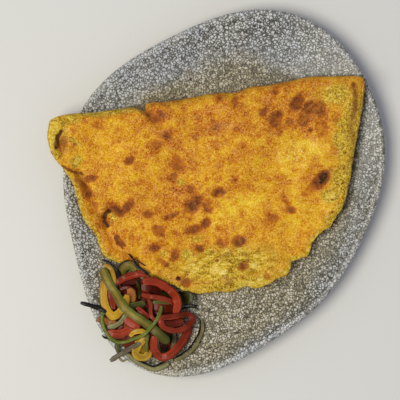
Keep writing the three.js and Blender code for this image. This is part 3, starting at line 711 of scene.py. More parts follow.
def make_omelette(settings):
    """A grid for the top, and rings from its shoulder round both leaves' edges to the underside."""
    shape = Omelette(settings)
    share, degrees = disc_grid(settings.cells)
    e = shape.edges(degrees)
    r = share * e.shoulder
    x, y = place_at(MIDDLE, r, degrees)
    points = [np.column_stack([x, y, e.top(r) + egg_relief(x, y) - 1.2 * crease_depth(x, y)])]
    n = settings.cells + 1
    grid = np.arange(n * n).reshape(n, n)
    faces = np.stack([grid[:-1, :-1], grid[1:, :-1], grid[1:, 1:], grid[:-1, 1:]], -1)
    faces = faces.reshape(-1, 4).tolist()

    previous = border_of(grid)
    around = degrees[previous]
    e = shape.edges(around)
    rings = shape.rings(e)
    for k, (radius, height) in enumerate(rings):
        x, y = place_at(MIDDLE, radius, around)
        if k < len(SHOULDER):
            fade = k / (len(SHOULDER) - 1) * (1 - 0.6 * e.open)
            height = height + egg_relief(x, y) * (1 - fade)
        elif k < len(rings) - len(UNDERSIDE):
            height = height + 0.6 * e.open * egg_relief(x, y)
        points.append(np.column_stack([x, y, height]))
        ring = n * n + k * len(around) + np.arange(len(around))
        faces += band(previous, ring)
        previous = ring
    points.append(np.array([[*MIDDLE, float(rest_height(*MIDDLE))]]))
    pole = int(previous[-1]) + 1
    faces += [[int(a), pole, int(b)] for a, b in zip(previous, np.roll(previous, -1))]
    return add_mesh("folded_omelette", np.concatenate(points), [], faces)


def paint_omelette(piece):
    """Keeps where the egg is browned or pale, and where its creases get painted shade, for its material."""
    points = np.empty(len(piece.data.vertices) * 3, np.float32)
    piece.data.vertices.foreach_get("co", points)
    x, y, z = (points.reshape(-1, 3).astype(float) / MM).T
    brown, halo, pale = 0, 0, 0
    for *zone, depth in SPOTS:
        d = from_zone(x, y, zone)
        brown = np.maximum(brown, depth * (1 - smooth(0.45, 1.6, d)))
        halo = np.maximum(halo, depth * bell(d, 1.9))
    for *zone, much in PALE_ZONES:
        pale = np.maximum(pale, much * inside(x, y, zone))
    toasted = sum(much * inside(x, y, zone) for *zone, much in TOASTED) + 0.07 * halo
    r, degrees = polar(x - MIDDLE[0], y - MIDDLE[1])
    rim = (1 - smooth(1.5, 7, edge_radius(degrees) - r)) * openness(degrees)
    under = smooth(-1, 1, rest_height(x, y) + 0.8 - z)
    store(piece, "brown", brown)
    store(piece, "pale", np.maximum(pale, 0.85 * rim))
    store(piece, "toasted", toasted)
    store(piece, "curds", inside(x, y, CURDS))
    store(piece, "wet", inside(x, y, WET))
    store(piece, "crease", crease_depth(x, y) * (1 - under))
    store(piece, "under", under)


# ---- the heap ----


def height_map(shape):
    """What lies under the shreds, in small cells."""
    x, y = np.meshgrid(np.arange(*MAP_X, MAP_CELL), np.arange(*MAP_Y, MAP_CELL), indexing="ij")
    return np.maximum(shape.served_height(x, y) + CLEARANCE, mound_height(x, y) - 1)


def cells_across(place, side, width):
    """The map's cells on a line across a shred."""
    across = np.arange(-width / 2, width / 2 + 0.01, MAP_CELL * 0.9)
    i = np.round((place[0] + side[0] * across - MAP_X[0]) / MAP_CELL).astype(int)
    j = np.round((place[1] + side[1] * across - MAP_Y[0]) / MAP_CELL).astype(int)
    return i, j


def mound_height(x, y):
    """The rounded top of the heap's core."""
    share = np.hypot(x - HEAP_MIDDLE[0], y - HEAP_MIDDLE[1]) / HEAP_RADIUS
    rise = HEAP_RISE * np.maximum(0, 1 - share**2) ** 0.6
    return np.where(share < 1, plate_top(x, y) + REST_GAP + rise, 0)


def beside(row, ring):
    """What stands before and after each value of a row, which may close on itself."""
    if ring:
        return np.roll(row, 1, 0), np.roll(row, -1, 0)
    return np.concatenate([row[:1], row[:-1]]), np.concatenate([row[1:], row[-1:]])


def route_points(route, ring):
    """Points a station apart on a smooth curve through a route."""
    knots = np.array(route, float)
    if ring:
        knots = np.vstack([knots[-1], knots, knots[0], knots[1]])
    else:
        knots = np.vstack([2 * knots[0] - knots[1], knots, 2 * knots[-1] - knots[-2]])
    dense = []
    for a, b, c, d in zip(knots, knots[1:], knots[2:], knots[3:]):
        t = np.linspace(0, 1, 24, endpoint=False)[:, None]
        bend = 2 * b + (c - a) * t + (2 * a - 5 * b + 4 * c - d) * t**2
        dense.append(0.5 * (bend + (3 * b - a - 3 * c + d) * t**3))
    dense = np.vstack([*dense, knots[-2]])
    length = np.concatenate([[0], np.cumsum(np.hypot(*np.diff(dense, axis=0).T))])
    at = np.linspace(0, length[-1], max(4, int(length[-1] / STATION)), endpoint=not ring)
    return np.column_stack([np.interp(at, length, dense[:, k]) for k in (0, 1)])


def lay(ground, width, thick, route, ring):
    """Lays a shred on the height map: its middle line, sides, width and thickness at each point."""
    points = route_points(route, ring)
    before, after = beside(points, ring)
    along = after - before
    along /= np.linalg.norm(along, axis=1)[:, None]
    sides = np.column_stack([-along[:, 1], along[:, 0]])
    lines = [cells_across(place, side, width) for place, side in zip(points, sides)]
    under = np.array([ground[line].max() for line in lines])
    low = under.copy()
    for step in range(STIFFNESS + SETTLING):
        before, after = beside(low, ring)
        low = (before + 2 * low + after) / 4
        if step < STIFFNESS:
            low = np.maximum(under, low)
    for line, z in zip(lines, low):
        ground[line] = np.maximum(ground[line], z + (1 - PRESS) * thick)
    from_end = np.minimum(np.arange(len(points)), np.arange(len(points))[::-1]) * STATION
    taper = 1 if ring else 0.55 + 0.45 * smooth(-1, END_TAPER, from_end)
    wide = width * taper * np.ones(len(points))
    tall = thick * (taper + 1) / 2 * np.ones(len(points))
    flat = np.column_stack([sides, np.zeros(len(points))])
    return np.column_stack([points, low + thick / 2]), flat, wide, tall, ring


def buried_shreds():
    """Short bent shreds at random in the heap, always the same."""
    draw = np.random.default_rng(BURIED_SEED)
    kinds = [kind for kind, count in BURIED.items() for _ in range(count)]
    draw.shuffle(kinds)
    rows = []
    for kind in kinds:
        away = BURIED_REACH * math.sqrt(draw.uniform())
        angle, way, bend = draw.uniform(0, TURN), draw.uniform(0, TURN), draw.uniform(-1.2, 1.2)
        x, y = HEAP_MIDDLE[0] + away * math.cos(angle), HEAP_MIDDLE[1] + away * math.sin(angle)
        half = draw.uniform(*BURIED_HALF)
        route = [
            (x + half * k * math.cos(way + bend * k / 2), y + half * k * math.sin(way + bend * k / 2))
            for k in (-1, 0, 1)
        ]
        width = draw.uniform(*BURIED_WIDTH) * (0.5 if kind == "skin" else 1)
        rows.append((kind, width, draw.uniform(*BURIED_THICKNESS), route))
    return rows


def outside_left(route, ring):
    """The route turned so that the outside of its bend is on its left."""
    points = np.array(route, float)
    legs = np.diff(np.vstack([points, points[0]]) if ring else points, axis=0)
    bend = legs[:-1, 0] * legs[1:, 1] - legs[:-1, 1] * legs[1:, 0]
    return route[::-1] if bend.sum() > 0 else route


def lay_shreds(shape):
    """Every shred as laid, by kind of shred."""
    ground = height_map(shape)
    laid = {}
    for kind, width, thick, route, *ring in buried_shreds() + SHREDS:
        ring = bool(ring)
        row = lay(ground, width, thick, outside_left(route, ring), ring)
        laid.setdefault(kind, []).append(row)
    return laid


def route_mesh(name, rows):
    """The shreds' middle lines as chains of edges, with what each point needs to become a shred."""
    edges, start = [], 0
    for points, *_, ring in rows:
        last = len(points) if ring else len(points) - 1
        edges += [(start + i, start + (i + 1) % len(points)) for i in range(last)]
        start += len(points)
    places, sides, wide, tall = (np.concatenate(column) for column in list(zip(*rows))[:4])
    draw = np.random.default_rng(len(rows))
    tones = np.concatenate([np.full(len(row[0]), draw.uniform()) for row in rows])
    piece = add_mesh(name, places, edges, [])
    store(piece, "width", wide * MM)
    store(piece, "thick", tall * MM)
    store(piece, "tone", tones)
    store(piece, "side", sides, "FLOAT_VECTOR", "vector")
    return piece


def make_core():
    """The low mound inside the heap, lumpy with the ends of buried shreds."""
    count, rings, sunk = 96, 26, 1.6
    degrees = np.arange(count) * 360 / count
    shares = [*np.linspace(0.04, 0.97, rings), 1.0, 0.95, 0.5]
    points, faces = [], []
    for k, share in enumerate(shares):
        x, y = place_at(HEAP_MIDDLE, HEAP_RADIUS * share, degrees)
        base = plate_top(x, y) + REST_GAP
        if k < rings:
            lumps = bumps(CORE_BUMPS, x, y) * (1 - share**4)
            z = np.maximum(mound_height(x, y) + lumps - sunk, base + 0.4)
        else:
            z = base + (0.3 if k == rings else 0)
        points.append(np.column_stack([x, y, z]))
    first = np.arange(count)
    for k in range(len(shares) - 1):
        faces += band(first + k * count, first + (k + 1) * count)
    top = float(mound_height(*HEAP_MIDDLE)) - sunk
    low = float(plate_top(*HEAP_MIDDLE)) + REST_GAP
    points.append(np.array([[*HEAP_MIDDLE, top], [*HEAP_MIDDLE, low]]))
    total, last = len(shares) * count, (len(shares) - 1) * count
    for i, j in zip(first.tolist(), np.roll(first, -1).tolist()):
        faces += [[i, j, total], [last + j, last + i, total + 1]]
    return add_mesh("shred_core", np.concatenate(points), [], faces)


# ---- nodes as expressions ----


class Wire:
    """A socket that takes part in sums, and adds the Math nodes that work them out."""

    def __init__(self, tree, socket):
        self.tree = tree
        self.socket = socket

    def output(self, key):
        """Another output of the same node."""
        return Wire(self.tree, self.socket.node.outputs[key])

    def __add__(self, other):
        return self.tree.math("ADD", self, other)

    def __sub__(self, other):
        return self.tree.math("SUBTRACT", self, other)

    def __rsub__(self, other):
        return self.tree.math("SUBTRACT", other, self)

    def __mul__(self, other):
        return self.tree.math("MULTIPLY", self, other)

    def __pow__(self, other):
        return self.tree.math("POWER", self, other)

    __radd__ = __add__
    __rmul__ = __mul__


class Tree:
    """A node tree that is being built."""

    def __init__(self, node_tree):
        self.nodes = node_tree.nodes
        self.links = node_tree.links

    def node(self, kind, values=None, output=0, **settings):
        """Adds a node, its settings first and then the values or wires of its inputs."""
        made = self.nodes.new(kind)
        for key, value in settings.items():
            if key == "stops":
                fill_ramp(made.color_ramp, value)
            else:
                setattr(made, key, value)
        for key, value in (values or {}).items():
            if isinstance(value, Wire):
                self.links.new(value.socket, made.inputs[key])
            else:
                made.inputs[key].default_value = value
        return Wire(self, made.outputs[output]) if made.outputs else made

    def math(self, operation, a, b=0.0, clamp=False):
        return self.node("ShaderNodeMath", {0: a, 1: b}, operation=operation, use_clamp=clamp)

    def vectors(self, operation, values):
        return self.node("ShaderNodeVectorMath", values, operation=operation)

    def join(self, x=0.0, y=0.0, z=0.0):
        """A vector from its three parts."""
        return self.node("ShaderNodeCombineXYZ", {0: x, 1: y, 2: z})

    def parts(self, vector):
        """The three parts of a vector."""
        x = self.node("ShaderNodeSeparateXYZ", {0: vector})
        return x, x.output(1), x.output(2)

    def smooth(self, low, high, x):
        """0 below the low value, 1 above the high one."""
        values = {"Value": x, "From Min": low, "From Max": high}
        return self.node("ShaderNodeMapRange", values, interpolation_type="SMOOTHSTEP")

    def blend(self, factor, a, b, way="MIX"):
        """One colour over another."""
        return self.node("ShaderNodeMix", {0: factor, 6: a, 7: b}, 2, data_type="RGBA", blend_type=way)

    def layers(self, colour, *coats):
        """A colour with others over it, each with its factor first and its way of blending last."""
        for factor, *coat in coats:
            colour = self.blend(factor, colour, *coat)
        return colour

    def ramp(self, factor, *stops):
        """A colour for each value, between stops of a position and a colour."""
        return self.node("ShaderNodeValToRGB", {0: factor}, stops=stops)

    def noise(self, where, size_mm, detail=2.0, roughness=0.5):
        """Cloudy noise about a half, with patches of about this size."""
        values = {"Vector": where, "Scale": 1 / (size_mm * MM), "Detail": detail, "Roughness": roughness}
        return self.node("ShaderNodeTexNoise", values)

    def voronoi(self, where, size_mm, feature="F1"):
        """Random cells of this size: the distance from a cell's middle or from its border."""
        values = {"Vector": where, "Scale": 1 / (size_mm * MM), "Randomness": 1.0}
        return self.node("ShaderNodeTexVoronoi", values, feature=feature)

    def tone(self, wire):
        """One number from the colour of the node that a wire leaves."""
        return self.node("ShaderNodeSeparateColor", {0: wire.output("Color")})

    def cells(self, where, size_mm, bend=1.0):
        """Cells with wavering borders: distance from the border, and a random tone for each."""
        wander = self.noise(where, 1.6 * size_mm).output("Color")
        wander = self.vectors("SCALE", {0: wander, "Scale": 1.5 * size_mm * MM * bend})
        where = self.vectors("ADD", {0: where, 1: wander})
        tone = self.tone(self.voronoi(where, size_mm))
        return self.voronoi(where, size_mm, "DISTANCE_TO_EDGE"), tone

    def stretched(self, where, lean, shares):
        """A place turned and scaled, to draw a pattern out."""
        values = {"Vector": where, "Rotation": (0, 0, lean), "Scale": shares}
        return self.node("ShaderNodeMapping", values)

    def attribute(self, name):
        """A number that a mesh keeps for each point, in a material."""
        return self.node("ShaderNodeAttribute", output=2, attribute_name=name)

    def named(self, name, data_type="FLOAT"):
        """An attribute, in a geometry tree."""
        return self.node("GeometryNodeInputNamedAttribute", {"Name": name}, data_type=data_type)

    def stored(self, geometry, name, value, data_type="FLOAT"):
        """Geometry that keeps a value as an attribute."""
        values = {"Geometry": geometry, "Name": name, "Value": value}
        kind = "GeometryNodeStoreNamedAttribute"
        return self.node(kind, values, data_type=data_type, domain="POINT")


def fill_ramp(ramp, stops):
    """Sets a colour ramp's stops, each a position and a colour."""
    while len(ramp.elements) < len(stops):
        ramp.elements.new(1)
    for element, (position, colour) in zip(ramp.elements, stops):
        element.position = position
        element.color = colour


# ---- materials ----


def linear(colour):
    """A picked colour as the shader wants it."""
    return (*(c / 12.92 if c <= 0.04045 else ((c + 0.055) / 1.055) ** 2.4 for c in colour), 1)


def shaded(colour, share):
    """A colour darkened to a share of itself."""
    return (*(c * share for c in colour[:3]), 1)


def lighter(colour, share):
    """A colour brightened by twice a share."""
    return (*(c * (1 + 2 * share) + 0.006 * share for c in colour[:3]), 1)


class Inks:
    """The colours of a settings group as the shader wants them, by name."""

    def __init__(self, settings):
        self.settings = settings

    def __getattr__(self, name):
        return linear(getattr(self.settings, name))


def new_material(name):
    """A material, its empty tree and the place on the object that patterns are drawn by."""
    material = bpy.data.materials.new(name)
    material.use_nodes = True
    material.node_tree.nodes.clear()
    tree = Tree(material.node_tree)
    return material, tree, tree.node("ShaderNodeTexCoord", output=3)


def surface(tree, varying, fixed, height, depth):
    """The surface shader: varying values, fixed ones, and a bump's height with its depth in mm."""
    bump = {"Strength": 1.0, "Distance": depth * MM, "Height": height}
    values = {**fixed, **varying, "Normal": tree.node("ShaderNodeBump", bump)}
    shader = tree.node("ShaderNodeBsdfPrincipled", values)
    tree.node("ShaderNodeOutputMaterial", {"Surface": shader})


def moist(scatter, depth, coat, coat_roughness=0.13):
    """The fixed values of moist food, which light goes a little way into."""
    return {
        "Coat Weight": coat,
        "Coat Roughness": coat_roughness,
        "Specular IOR Level": 0.1,
        "Subsurface Weight": 0.1,
        "Subsurface Radius": scatter,
        "Subsurface Scale": depth * MM,
    }


def glaze(settings):
    """Stone-like glaze: pale grains packed close on a dark ground, olive in the well partly as painted
    reflection of the food, a painted bluish reflection and painted light on the rim, a bare foot.
    """
    material, tree, place = new_material("speckled_glaze")
    ink = Inks(settings)
    across, lengthwise, height = tree.parts(place)
    coarse = tree.noise(place, 45)
    uneven = height + (coarse - 0.5) * 0.012
    low = tree.smooth(0.0165, 0.0085, uneven + 0.05 * lengthwise)
    left, right = tree.smooth(-0.085, -0.115, across), tree.smooth(0.06, 0.1, across)
    slant = tree.math("MINIMUM", 0.045 * lengthwise, 0.02 * lengthwise)
    worn = tree.smooth(0.0155, 0.0085, uneven + slant + 0.02 * left)
    worn = tree.math("MAXIMUM", worn, 0.7 * right)
    behind = low * tree.smooth(0.02, 0.08, lengthwise)
    front = tree.smooth(-0.02, -0.09, lengthwise)

    def grains(size, contrast, gap, middle):
        edge, tone = tree.cells(place, size)
        return 0.54 + contrast * (tree.smooth(-0.03, gap, edge) * (0.5 + tone) - middle)

    size = settings.grain / MM
    rim = grains(size, 1.17 + 0.6 * left, 0.33, 0.48)
    well = grains(0.93 * size, 1.03 - 0.45 * behind, 0.22, 0.61)
    speckle = tree.noise(place, 5)
    bright = rim + worn * (well - rim) + (speckle - 0.5) * 0.35 + (coarse - 0.5) * 0.2
    # Painted light: the glaze is lighter towards the lit left side and darker towards the right.
    bright = bright + 0.02 - 1.2 * across + 0.15 * lengthwise + 0.08 * left - 0.16 * behind
    # Painted highlight along the rim's edge, stronger at the front.
    bright = bright + (0.12 + 0.12 * front) * tree.smooth(0.0185, 0.0196, height)
    bright = bright + 0.35 * (tree.noise(place, 0.9, 1) - 0.5)
    # Olive cast: partly the glaze's own tone, and in the well partly a painted reflection of the food, most
    # on the darker grains.
    olive = (low + 0.45 * left + 0.25 * right + 0.4 * behind + 0.12) * tree.smooth(1.7, 0.5, bright)
    # Painted reflection of the window light: a bluish cast in patches on the rim, less on the left.
    blue = 0.5 * tree.smooth(0.35, 0.65, tree.noise(place, 30)) * (1 - low) * (1 - 0.8 * left)
    bare = tree.smooth(0.0011, 0.0006, height)
    colour = tree.layers(
        tree.ramp(bright, (0.0, ink.dark), (0.45, ink.middle), (0.9, ink.pale)),
        (olive, ink.well, "MULTIPLY"),
        (blue, ink.blue, "MULTIPLY"),
        (tree.smooth(0.06, 0.035, tree.voronoi(place, 26)), ink.dark),
        (bare, ink.clay),
    )
    surface(
        tree,
        {"Base Color": colour, "Roughness": 0.34 + 0.14 * speckle + 0.4 * bare},
        {"Coat Weight": 0.15, "Coat Roughness": 0.2, "IOR": 1.5},
        0.5 * speckle + 0.5 * rim + 0.4 * bare * tree.noise(place, 0.8, 3),
        0.12,
    )
    return material


def fried_egg(settings):
    """Fried egg: a fine yellow and orange grain, partly painted sheen, browned spots, pale edges, painted
    shade in the creases and painted glints.
    """
    material, tree, place = new_material("fried_egg")
    ink = Inks(settings)
    marks = ("brown", "pale", "crease", "under", "toasted", "curds", "wet")
    brown, pale, crease, under, toasted, curds, glossy = map(tree.attribute, marks)
    patch = tree.noise(place, 10, 3, 0.6)
    blotch = tree.noise(place, 4.6, 2, 0.6)
    mottle = tree.noise(place, 2.4, 3, 0.65)
    grain = tree.noise(place, 1.05, 2, 0.6)

    # The fried top, from yellow to burnt by how much heat each place took.
    dimple = tree.voronoi(place, 9)
    faint = tree.smooth(0.42, 0.14, dimple + 0.4 * (blotch - 0.5)) * tree.smooth(0.25, 1.0, tree.tone(dimple))
    spot = tree.smooth(0.1, 0.85, brown + 0.3 * (mottle - 0.5) + 0.4 * (blotch - 0.5))
    heat = 0.45 + 0.66 * (patch - 0.5) + 0.32 * (blotch - 0.5) + toasted + spot * (0.1 + 0.15 * brown)
    heat = heat + 0.29 * (mottle - 0.5) + 0.42 * (grain - 0.5) + 0.13 * faint
    heat = heat - 0.05 * tree.smooth(0.36, 0.44, dimple) * tree.smooth(0.54, 0.46, dimple)
    fried = tree.ramp(
        heat, (0.1, ink.bright), (0.36, ink.golden), (0.57, ink.orange), (0.79, ink.brown), (1.0, ink.burnt_and_shade)
    )

    # Egg that touched no pan, in curds along the open edge and plain elsewhere.
    streak = tree.stretched(place, -0.4, (0.45, 1, 1))
    curd = mottle + curds * (tree.noise(streak, 3.4, 3, 0.6) - mottle)
    gap, lump = tree.cells(streak, 8, 0.8)
    plain = tree.smooth(1.15, 1.45, pale) * (1 - curds)
    index = 0.46 + (1.0 + 0.1 * curds - 0.5 * plain) * (curd - 0.5) - 0.2 * spot
    index = index + (0.72 - 0.4 * plain - 0.2 * curds) * (grain - 0.5) + 0.1 * plain
    lumps = 0.1 + 0.5 * (patch - 0.5) + 0.3 * (lump - 0.5) - 0.1 * tree.smooth(0.2, 0.02, gap)
    index = index + curds * lumps
    unfried = tree.ramp(index, (0.14, ink.brown), (0.38, ink.olive), (0.54, ink.pale), (0.76, ink.white))
    soft = tree.smooth(0.25, 1.05, pale + 0.5 * (mottle - 0.5) + 0.9 * (patch - 0.5))

    # Over both: painted glitter and glints of the moist surface, its grain, which is partly painted sheen,
    # painted shade in the creases, and the underside.
    # Painted glints of fat in the glossy zone.
    painted_glint = tree.smooth(0.56, 0.68, tree.noise(place, 1.4, 1) + 0.2 * (mottle - 0.5))
    # A fine grain, partly the egg's own texture and partly painted sheen.
    crumb_and_sheen = 0.6 * tree.noise(place, 0.8, 1) + 0.4 * tree.noise(place, 1.5, 1)
    # Painted shade in the creases, broken up by the mottle, in brown and the darkest colour.
    dark = crease + 0.7 * (mottle - 0.5) + 0.5 * (blotch - 0.5)
    wet = tree.smooth(0.48, 0.66, tree.noise(place, 7) + 0.25 * glossy)
    unspotted = 1 - 0.75 * spot
    colour = tree.layers(
        fried,
        (soft * unspotted, unfried),
        # Painted glitter: bright specks of light on the moist surface.
        (tree.smooth(0.5, 0.74, grain) * (0.4 - 0.3 * spot), ink.bright),
        (0.85 * painted_glint * glossy * glossy, PAINTED_GLINT),
        (unspotted, tree.blend(crumb_and_sheen, *EGG_GRAIN_AND_SHEEN), "LINEAR_LIGHT"),
        (0.7 * tree.smooth(0.15, 0.85, dark), ink.brown),
        (0.85 * tree.smooth(0.4, 1.2, dark), ink.burnt_and_shade),
        (0.5 * under, ink.orange),
    )
    surface(
        tree,
        {"Base Color": colour, "Roughness": 0.52 - 0.16 * wet + 0.1 * spot, "Coat Weight": 0.06 * wet},
        {**moist((1.0, 0.45, 0.1), 1, 0, 0.18), "IOR": 1.4},
        0.5 * mottle + 0.5 * grain + 0.2 * tree.noise(place, 0.7) - 0.2 * spot,
        0.8,
    )
    return material


def deeper(tree, place, colour):
    """A shred's colour with a fine grain, darkened with painted shade low in the heap."""
    _, _, height = tree.parts(place)
    grain = tree.blend(tree.noise(place, 0.8, 1), *SHRED_GRAIN)
    # Painted shade: darker low in the heap.
    low = tree.smooth(0.025, 0.014, height)
    return tree.layers(colour, (1.0, grain, "MULTIPLY"), (0.6 * low, PAINTED_DEPTH_SHADE, "MULTIPLY"))


def fibres(tree, across, tone):
    """Noise drawn out along a shred into fine lines, which differ from shred to shred."""
    line = tree.join(tree.attribute("along") * 0.02, across * 0.0034, tone * 0.05)
    return tree.noise(line, 1.2, 3, 0.6)


def pepper(name, flesh, skin):
    """A cut pepper strip: moist flesh on its cut face, the darker skin along one side, painted highlights
    along its inner edge and fibres, and painted shade underneath.
    """
    material, tree, place = new_material(name)
    across, up, tone = map(tree.attribute, ("across", "up", "tone"))
    fibre = fibres(tree, across, tone)
    patch = tree.noise(place, 6)
    edge = tree.smooth(0.5, 0.85, across + 0.3 * (patch - 0.5))
    # Painted highlights: a lighter line along the inner edge, and along some fibres.
    light = tree.smooth(-0.55, -0.95, across) * 0.35 + 0.6 * tree.smooth(0.52, 0.72, fibre)
    colour = tree.layers(
        flesh,
        (tree.smooth(0.3, 0.75, patch + 0.5 * (tone - 0.5)), shaded(flesh, 0.7)),
        (0.6 * tree.smooth(0.55, 0.3, fibre), shaded(flesh, 0.5)),
        (light, lighter(flesh, 0.4)),
        (edge, skin),
        # Painted shade on the underside of the shred.
        (0.55 * tree.smooth(0.5, -0.6, up), shaded(flesh, 0.3)),
    )
    surface(
        tree,
        {"Base Color": deeper(tree, place, colour), "Roughness": 0.46 - 0.12 * edge + 0.12 * fibre},
        moist((1.0, 0.3, 0.15), 0.8, 0.16),
        0.6 * fibre + 0.5 * tree.noise(place, 0.7),
        0.4,
    )
    return material


def courgette(name, flesh, skin, edge_from, other=None):
    """A ribbon of courgette: watery flesh with lines along it, and skin at both edges or at one."""
    material, tree, place = new_material(name)
    across, tone = tree.attribute("across"), tree.attribute("tone")
    side = across if other else tree.math("ABSOLUTE", across)
    lines = fibres(tree, across, tone)
    patch = tree.noise(place, 6)
    wavy = side + 0.3 * (lines - 0.5)
    colour = tree.layers(
        flesh,
        (tree.smooth(0.35, 0.7, lines + 0.4 * (tone - 0.5)), shaded(flesh, 0.42)),
        (0.4 * tree.smooth(0.5, 0.72, patch), lighter(flesh, 0.25)),
        (tree.smooth(edge_from, edge_from + 0.2, wavy), skin),
    )
    if other:
        x, _, _ = tree.parts(place)
        # The courgette is darker towards its +X end, from x = -68 mm to -38 mm.
        darker_end = 0.85 * tree.smooth(-0.068, -0.038, x)
        colour = tree.layers(
            colour, (tree.smooth(-0.2, -0.5, wavy), other), (darker_end, shaded(other, 0.36))
        )
    surface(
        tree,
        {"Base Color": deeper(tree, place, colour), "Roughness": 0.42 + 0.16 * patch},
        moist((0.8, 0.8, 0.25), 0.8, 0.12),
        0.7 * lines + 0.3 * tree.noise(place, 0.7),
        0.25,
    )
    return material


def core_mix(settings):
    """The shaded inside of the heap: buried ends of red, green and pale shreds."""
    material, tree, place = new_material("buried_shreds")
    ink = Inks(settings)
    pick = tree.tone(tree.voronoi(tree.stretched(place, 0.6, (1, 0.3, 1)), 3.4))
    colour = tree.layers(
        shaded(ink.red, 0.5),
        (tree.smooth(0.66, 0.7, pick), shaded(ink.leaf, 0.7)),
        (tree.smooth(0.88, 0.92, pick), shaded(ink.pale, 0.5)),
    )
    surface(
        tree,
        {"Base Color": colour, "Roughness": 0.4 + 0.2 * pick},
        {"Coat Weight": 0.05, "Coat Roughness": 0.2, "Specular IOR Level": 0.15},
        tree.noise(place, 1.5, 3),
        0.4,
    )
    return material


# ---- geometry trees ----


def geometry_tree(name, values):
    """A geometry node tree with an input for each named value, and the wires from those inputs."""
    group = bpy.data.node_groups.new(name, "GeometryNodeTree")
    for way in ("OUTPUT", "INPUT"):
        group.interface.new_socket("Geometry", in_out=way, socket_type="NodeSocketGeometry")
    kinds = {int: "NodeSocketInt", float: "NodeSocketFloat", bpy.types.Material: "NodeSocketMaterial"}
    for label, value in values.items():
        group.interface.new_socket(label, in_out="INPUT", socket_type=kinds[type(value)])
    tree = Tree(group)
    given = tree.node("NodeGroupInput")
    return group, tree, {label: given.output(label) for label in ("Geometry", *values)}


def close_tree(tree, geometry, material):
    """The end of every tree: real geometry, smooth, with its material."""
    for kind in ("GeometryNodeSetShadeSmooth", "GeometryNodeRealizeInstances"):
        geometry = tree.node(kind, {"Geometry": geometry})
    geometry = tree.node("GeometryNodeSetMaterial", {"Geometry": geometry, "Material": material})
    tree.node("NodeGroupOutput", {0: geometry})


def plate_tree(values):
    """A grid bent round the plate's outline, one row after another from its top to its foot."""
    group, tree, given = geometry_tree("plate_tree", values)
    lip_radius, well = given["Lip Radius"], given["Well Height"]
    counts = {"Vertices X": given["Columns"], "Vertices Y": given["Rows"]}
    grid = tree.node("GeometryNodeMeshGrid", {"Size X": 1.0, "Size Y": 1.0, **counts})
    x, y, _ = tree.parts(tree.node("GeometryNodeInputPosition"))
    angle, row = (x + 0.5) * TURN, y + 0.5
    top, lip, under, step, foot = (
        tree.math("DIVIDE", row - start, end - start, clamp=True)
        for start, end in zip(STRETCHES, STRETCHES[1:])
    )
    share = top - (1 - FOOT_SHARE) * under - FOOT_SHARE * foot
    rise = tree.math("DIVIDE", share - WELL_SHARE, 1 - WELL_SHARE, clamp=True)
    bend = lip * math.pi
    height = well + (given["Rim Height"] - well) * rise**2
    height = (height + lip_radius * (tree.math("COSINE", bend) - 1)) * (1 - step)
    outline = given["Mean Radius"]
    for times, far, peak in PLATE_LOBES:
        outline = outline + far * MM * tree.math("COSINE", (angle - math.radians(peak)) * times)
    radius = (outline - lip_radius) * share + lip_radius * tree.math("SINE", bend)
    radius = radius + FOOT_STEP * MM * (1 - step) * tree.smooth(*STEP_START, row)
    place = tree.join(radius * tree.math("COSINE", angle), radius * tree.math("SINE", angle), height)
    shape = tree.node("GeometryNodeSetPosition", {"Geometry": grid, "Position": place})
    shape = tree.node("GeometryNodeMergeByDistance", {"Geometry": shape, "Distance": 0.01 * MM})
    close_tree(tree, tree.node("GeometryNodeFlipFaces", {"Mesh": shape}), given["Material"])
    return group


def shred_tree(values):
    """A rounded bar along each route, as wide and thick as the route says, with uneven sides."""
    group, tree, given = geometry_tree("shred_tree", values)
    rail = tree.node("GeometryNodeMeshToCurve", {"Mesh": given["Geometry"]})
    spacing = {"Curve": rail, "Length": given["Step"]}
    rail = tree.node("GeometryNodeResampleCurve", spacing, mode="LENGTH")
    rail = tree.stored(rail, "along", tree.node("GeometryNodeSplineParameter", output=1))
    rail = tree.stored(rail, "middle", tree.node("GeometryNodeInputPosition"), "FLOAT_VECTOR")
    circle = {"Resolution": given["Sides"], "Radius": 1.0}
    profile = tree.node("GeometryNodeCurvePrimitiveCircle", circle, mode="RADIUS")
    x, y, _ = tree.parts(tree.node("GeometryNodeInputPosition"))
    for name, part in (("across", x), ("up", y)):
        squared = tree.math("SIGN", part) * tree.math("ABSOLUTE", part) ** 0.38
        profile = tree.stored(profile, name, squared)
    curves = {"Curve": rail, "Profile Curve": profile, "Fill Caps": True}
    mesh = tree.node("GeometryNodeCurveToMesh", curves)

    middle = tree.named("middle", "FLOAT_VECTOR")
    side = tree.vectors("NORMALIZE", {0: tree.named("side", "FLOAT_VECTOR")})
    uneven = tree.node("ShaderNodeTexNoise", {"Vector": middle, "Scale": 190.0, "Detail": 2.0})
    swell = 1 + (uneven - 0.5) * given["Unevenness"] * 2
    half = tree.named("across") * tree.named("width") * 0.5 * swell
    place = tree.vectors("ADD", {0: middle, 1: tree.vectors("SCALE", {0: side, "Scale": half})})
    tall = tree.join(z=tree.named("up") * tree.named("thick") * 0.5)
    place = tree.vectors("ADD", {0: place, 1: tall})
    mesh = tree.node("GeometryNodeSetPosition", {"Geometry": mesh, "Position": place})
    close_tree(tree, mesh, given["Material"])
    return group


def grow(source, group, values):
    """Runs a geometry tree on an object, and gives its result as a plain mesh object."""
    modifier = source.modifiers.new(group.name, "NODES")
    modifier.node_group = group
    sockets = {s.name: s for s in group.interface.items_tree if s.in_out == "INPUT"}
    for label, value in values.items():
        modifier[sockets[label].identifier] = value
    evaluated = source.evaluated_get(bpy.context.evaluated_depsgraph_get())
    mesh = bpy.data.meshes.new_from_object(evaluated)
    name = source.name
    bpy.data.objects.remove(source)
    if not mesh.polygons:
        raise RuntimeError(f"{name} came out empty")
    return add_object(name, mesh)


# ---- the stage ----


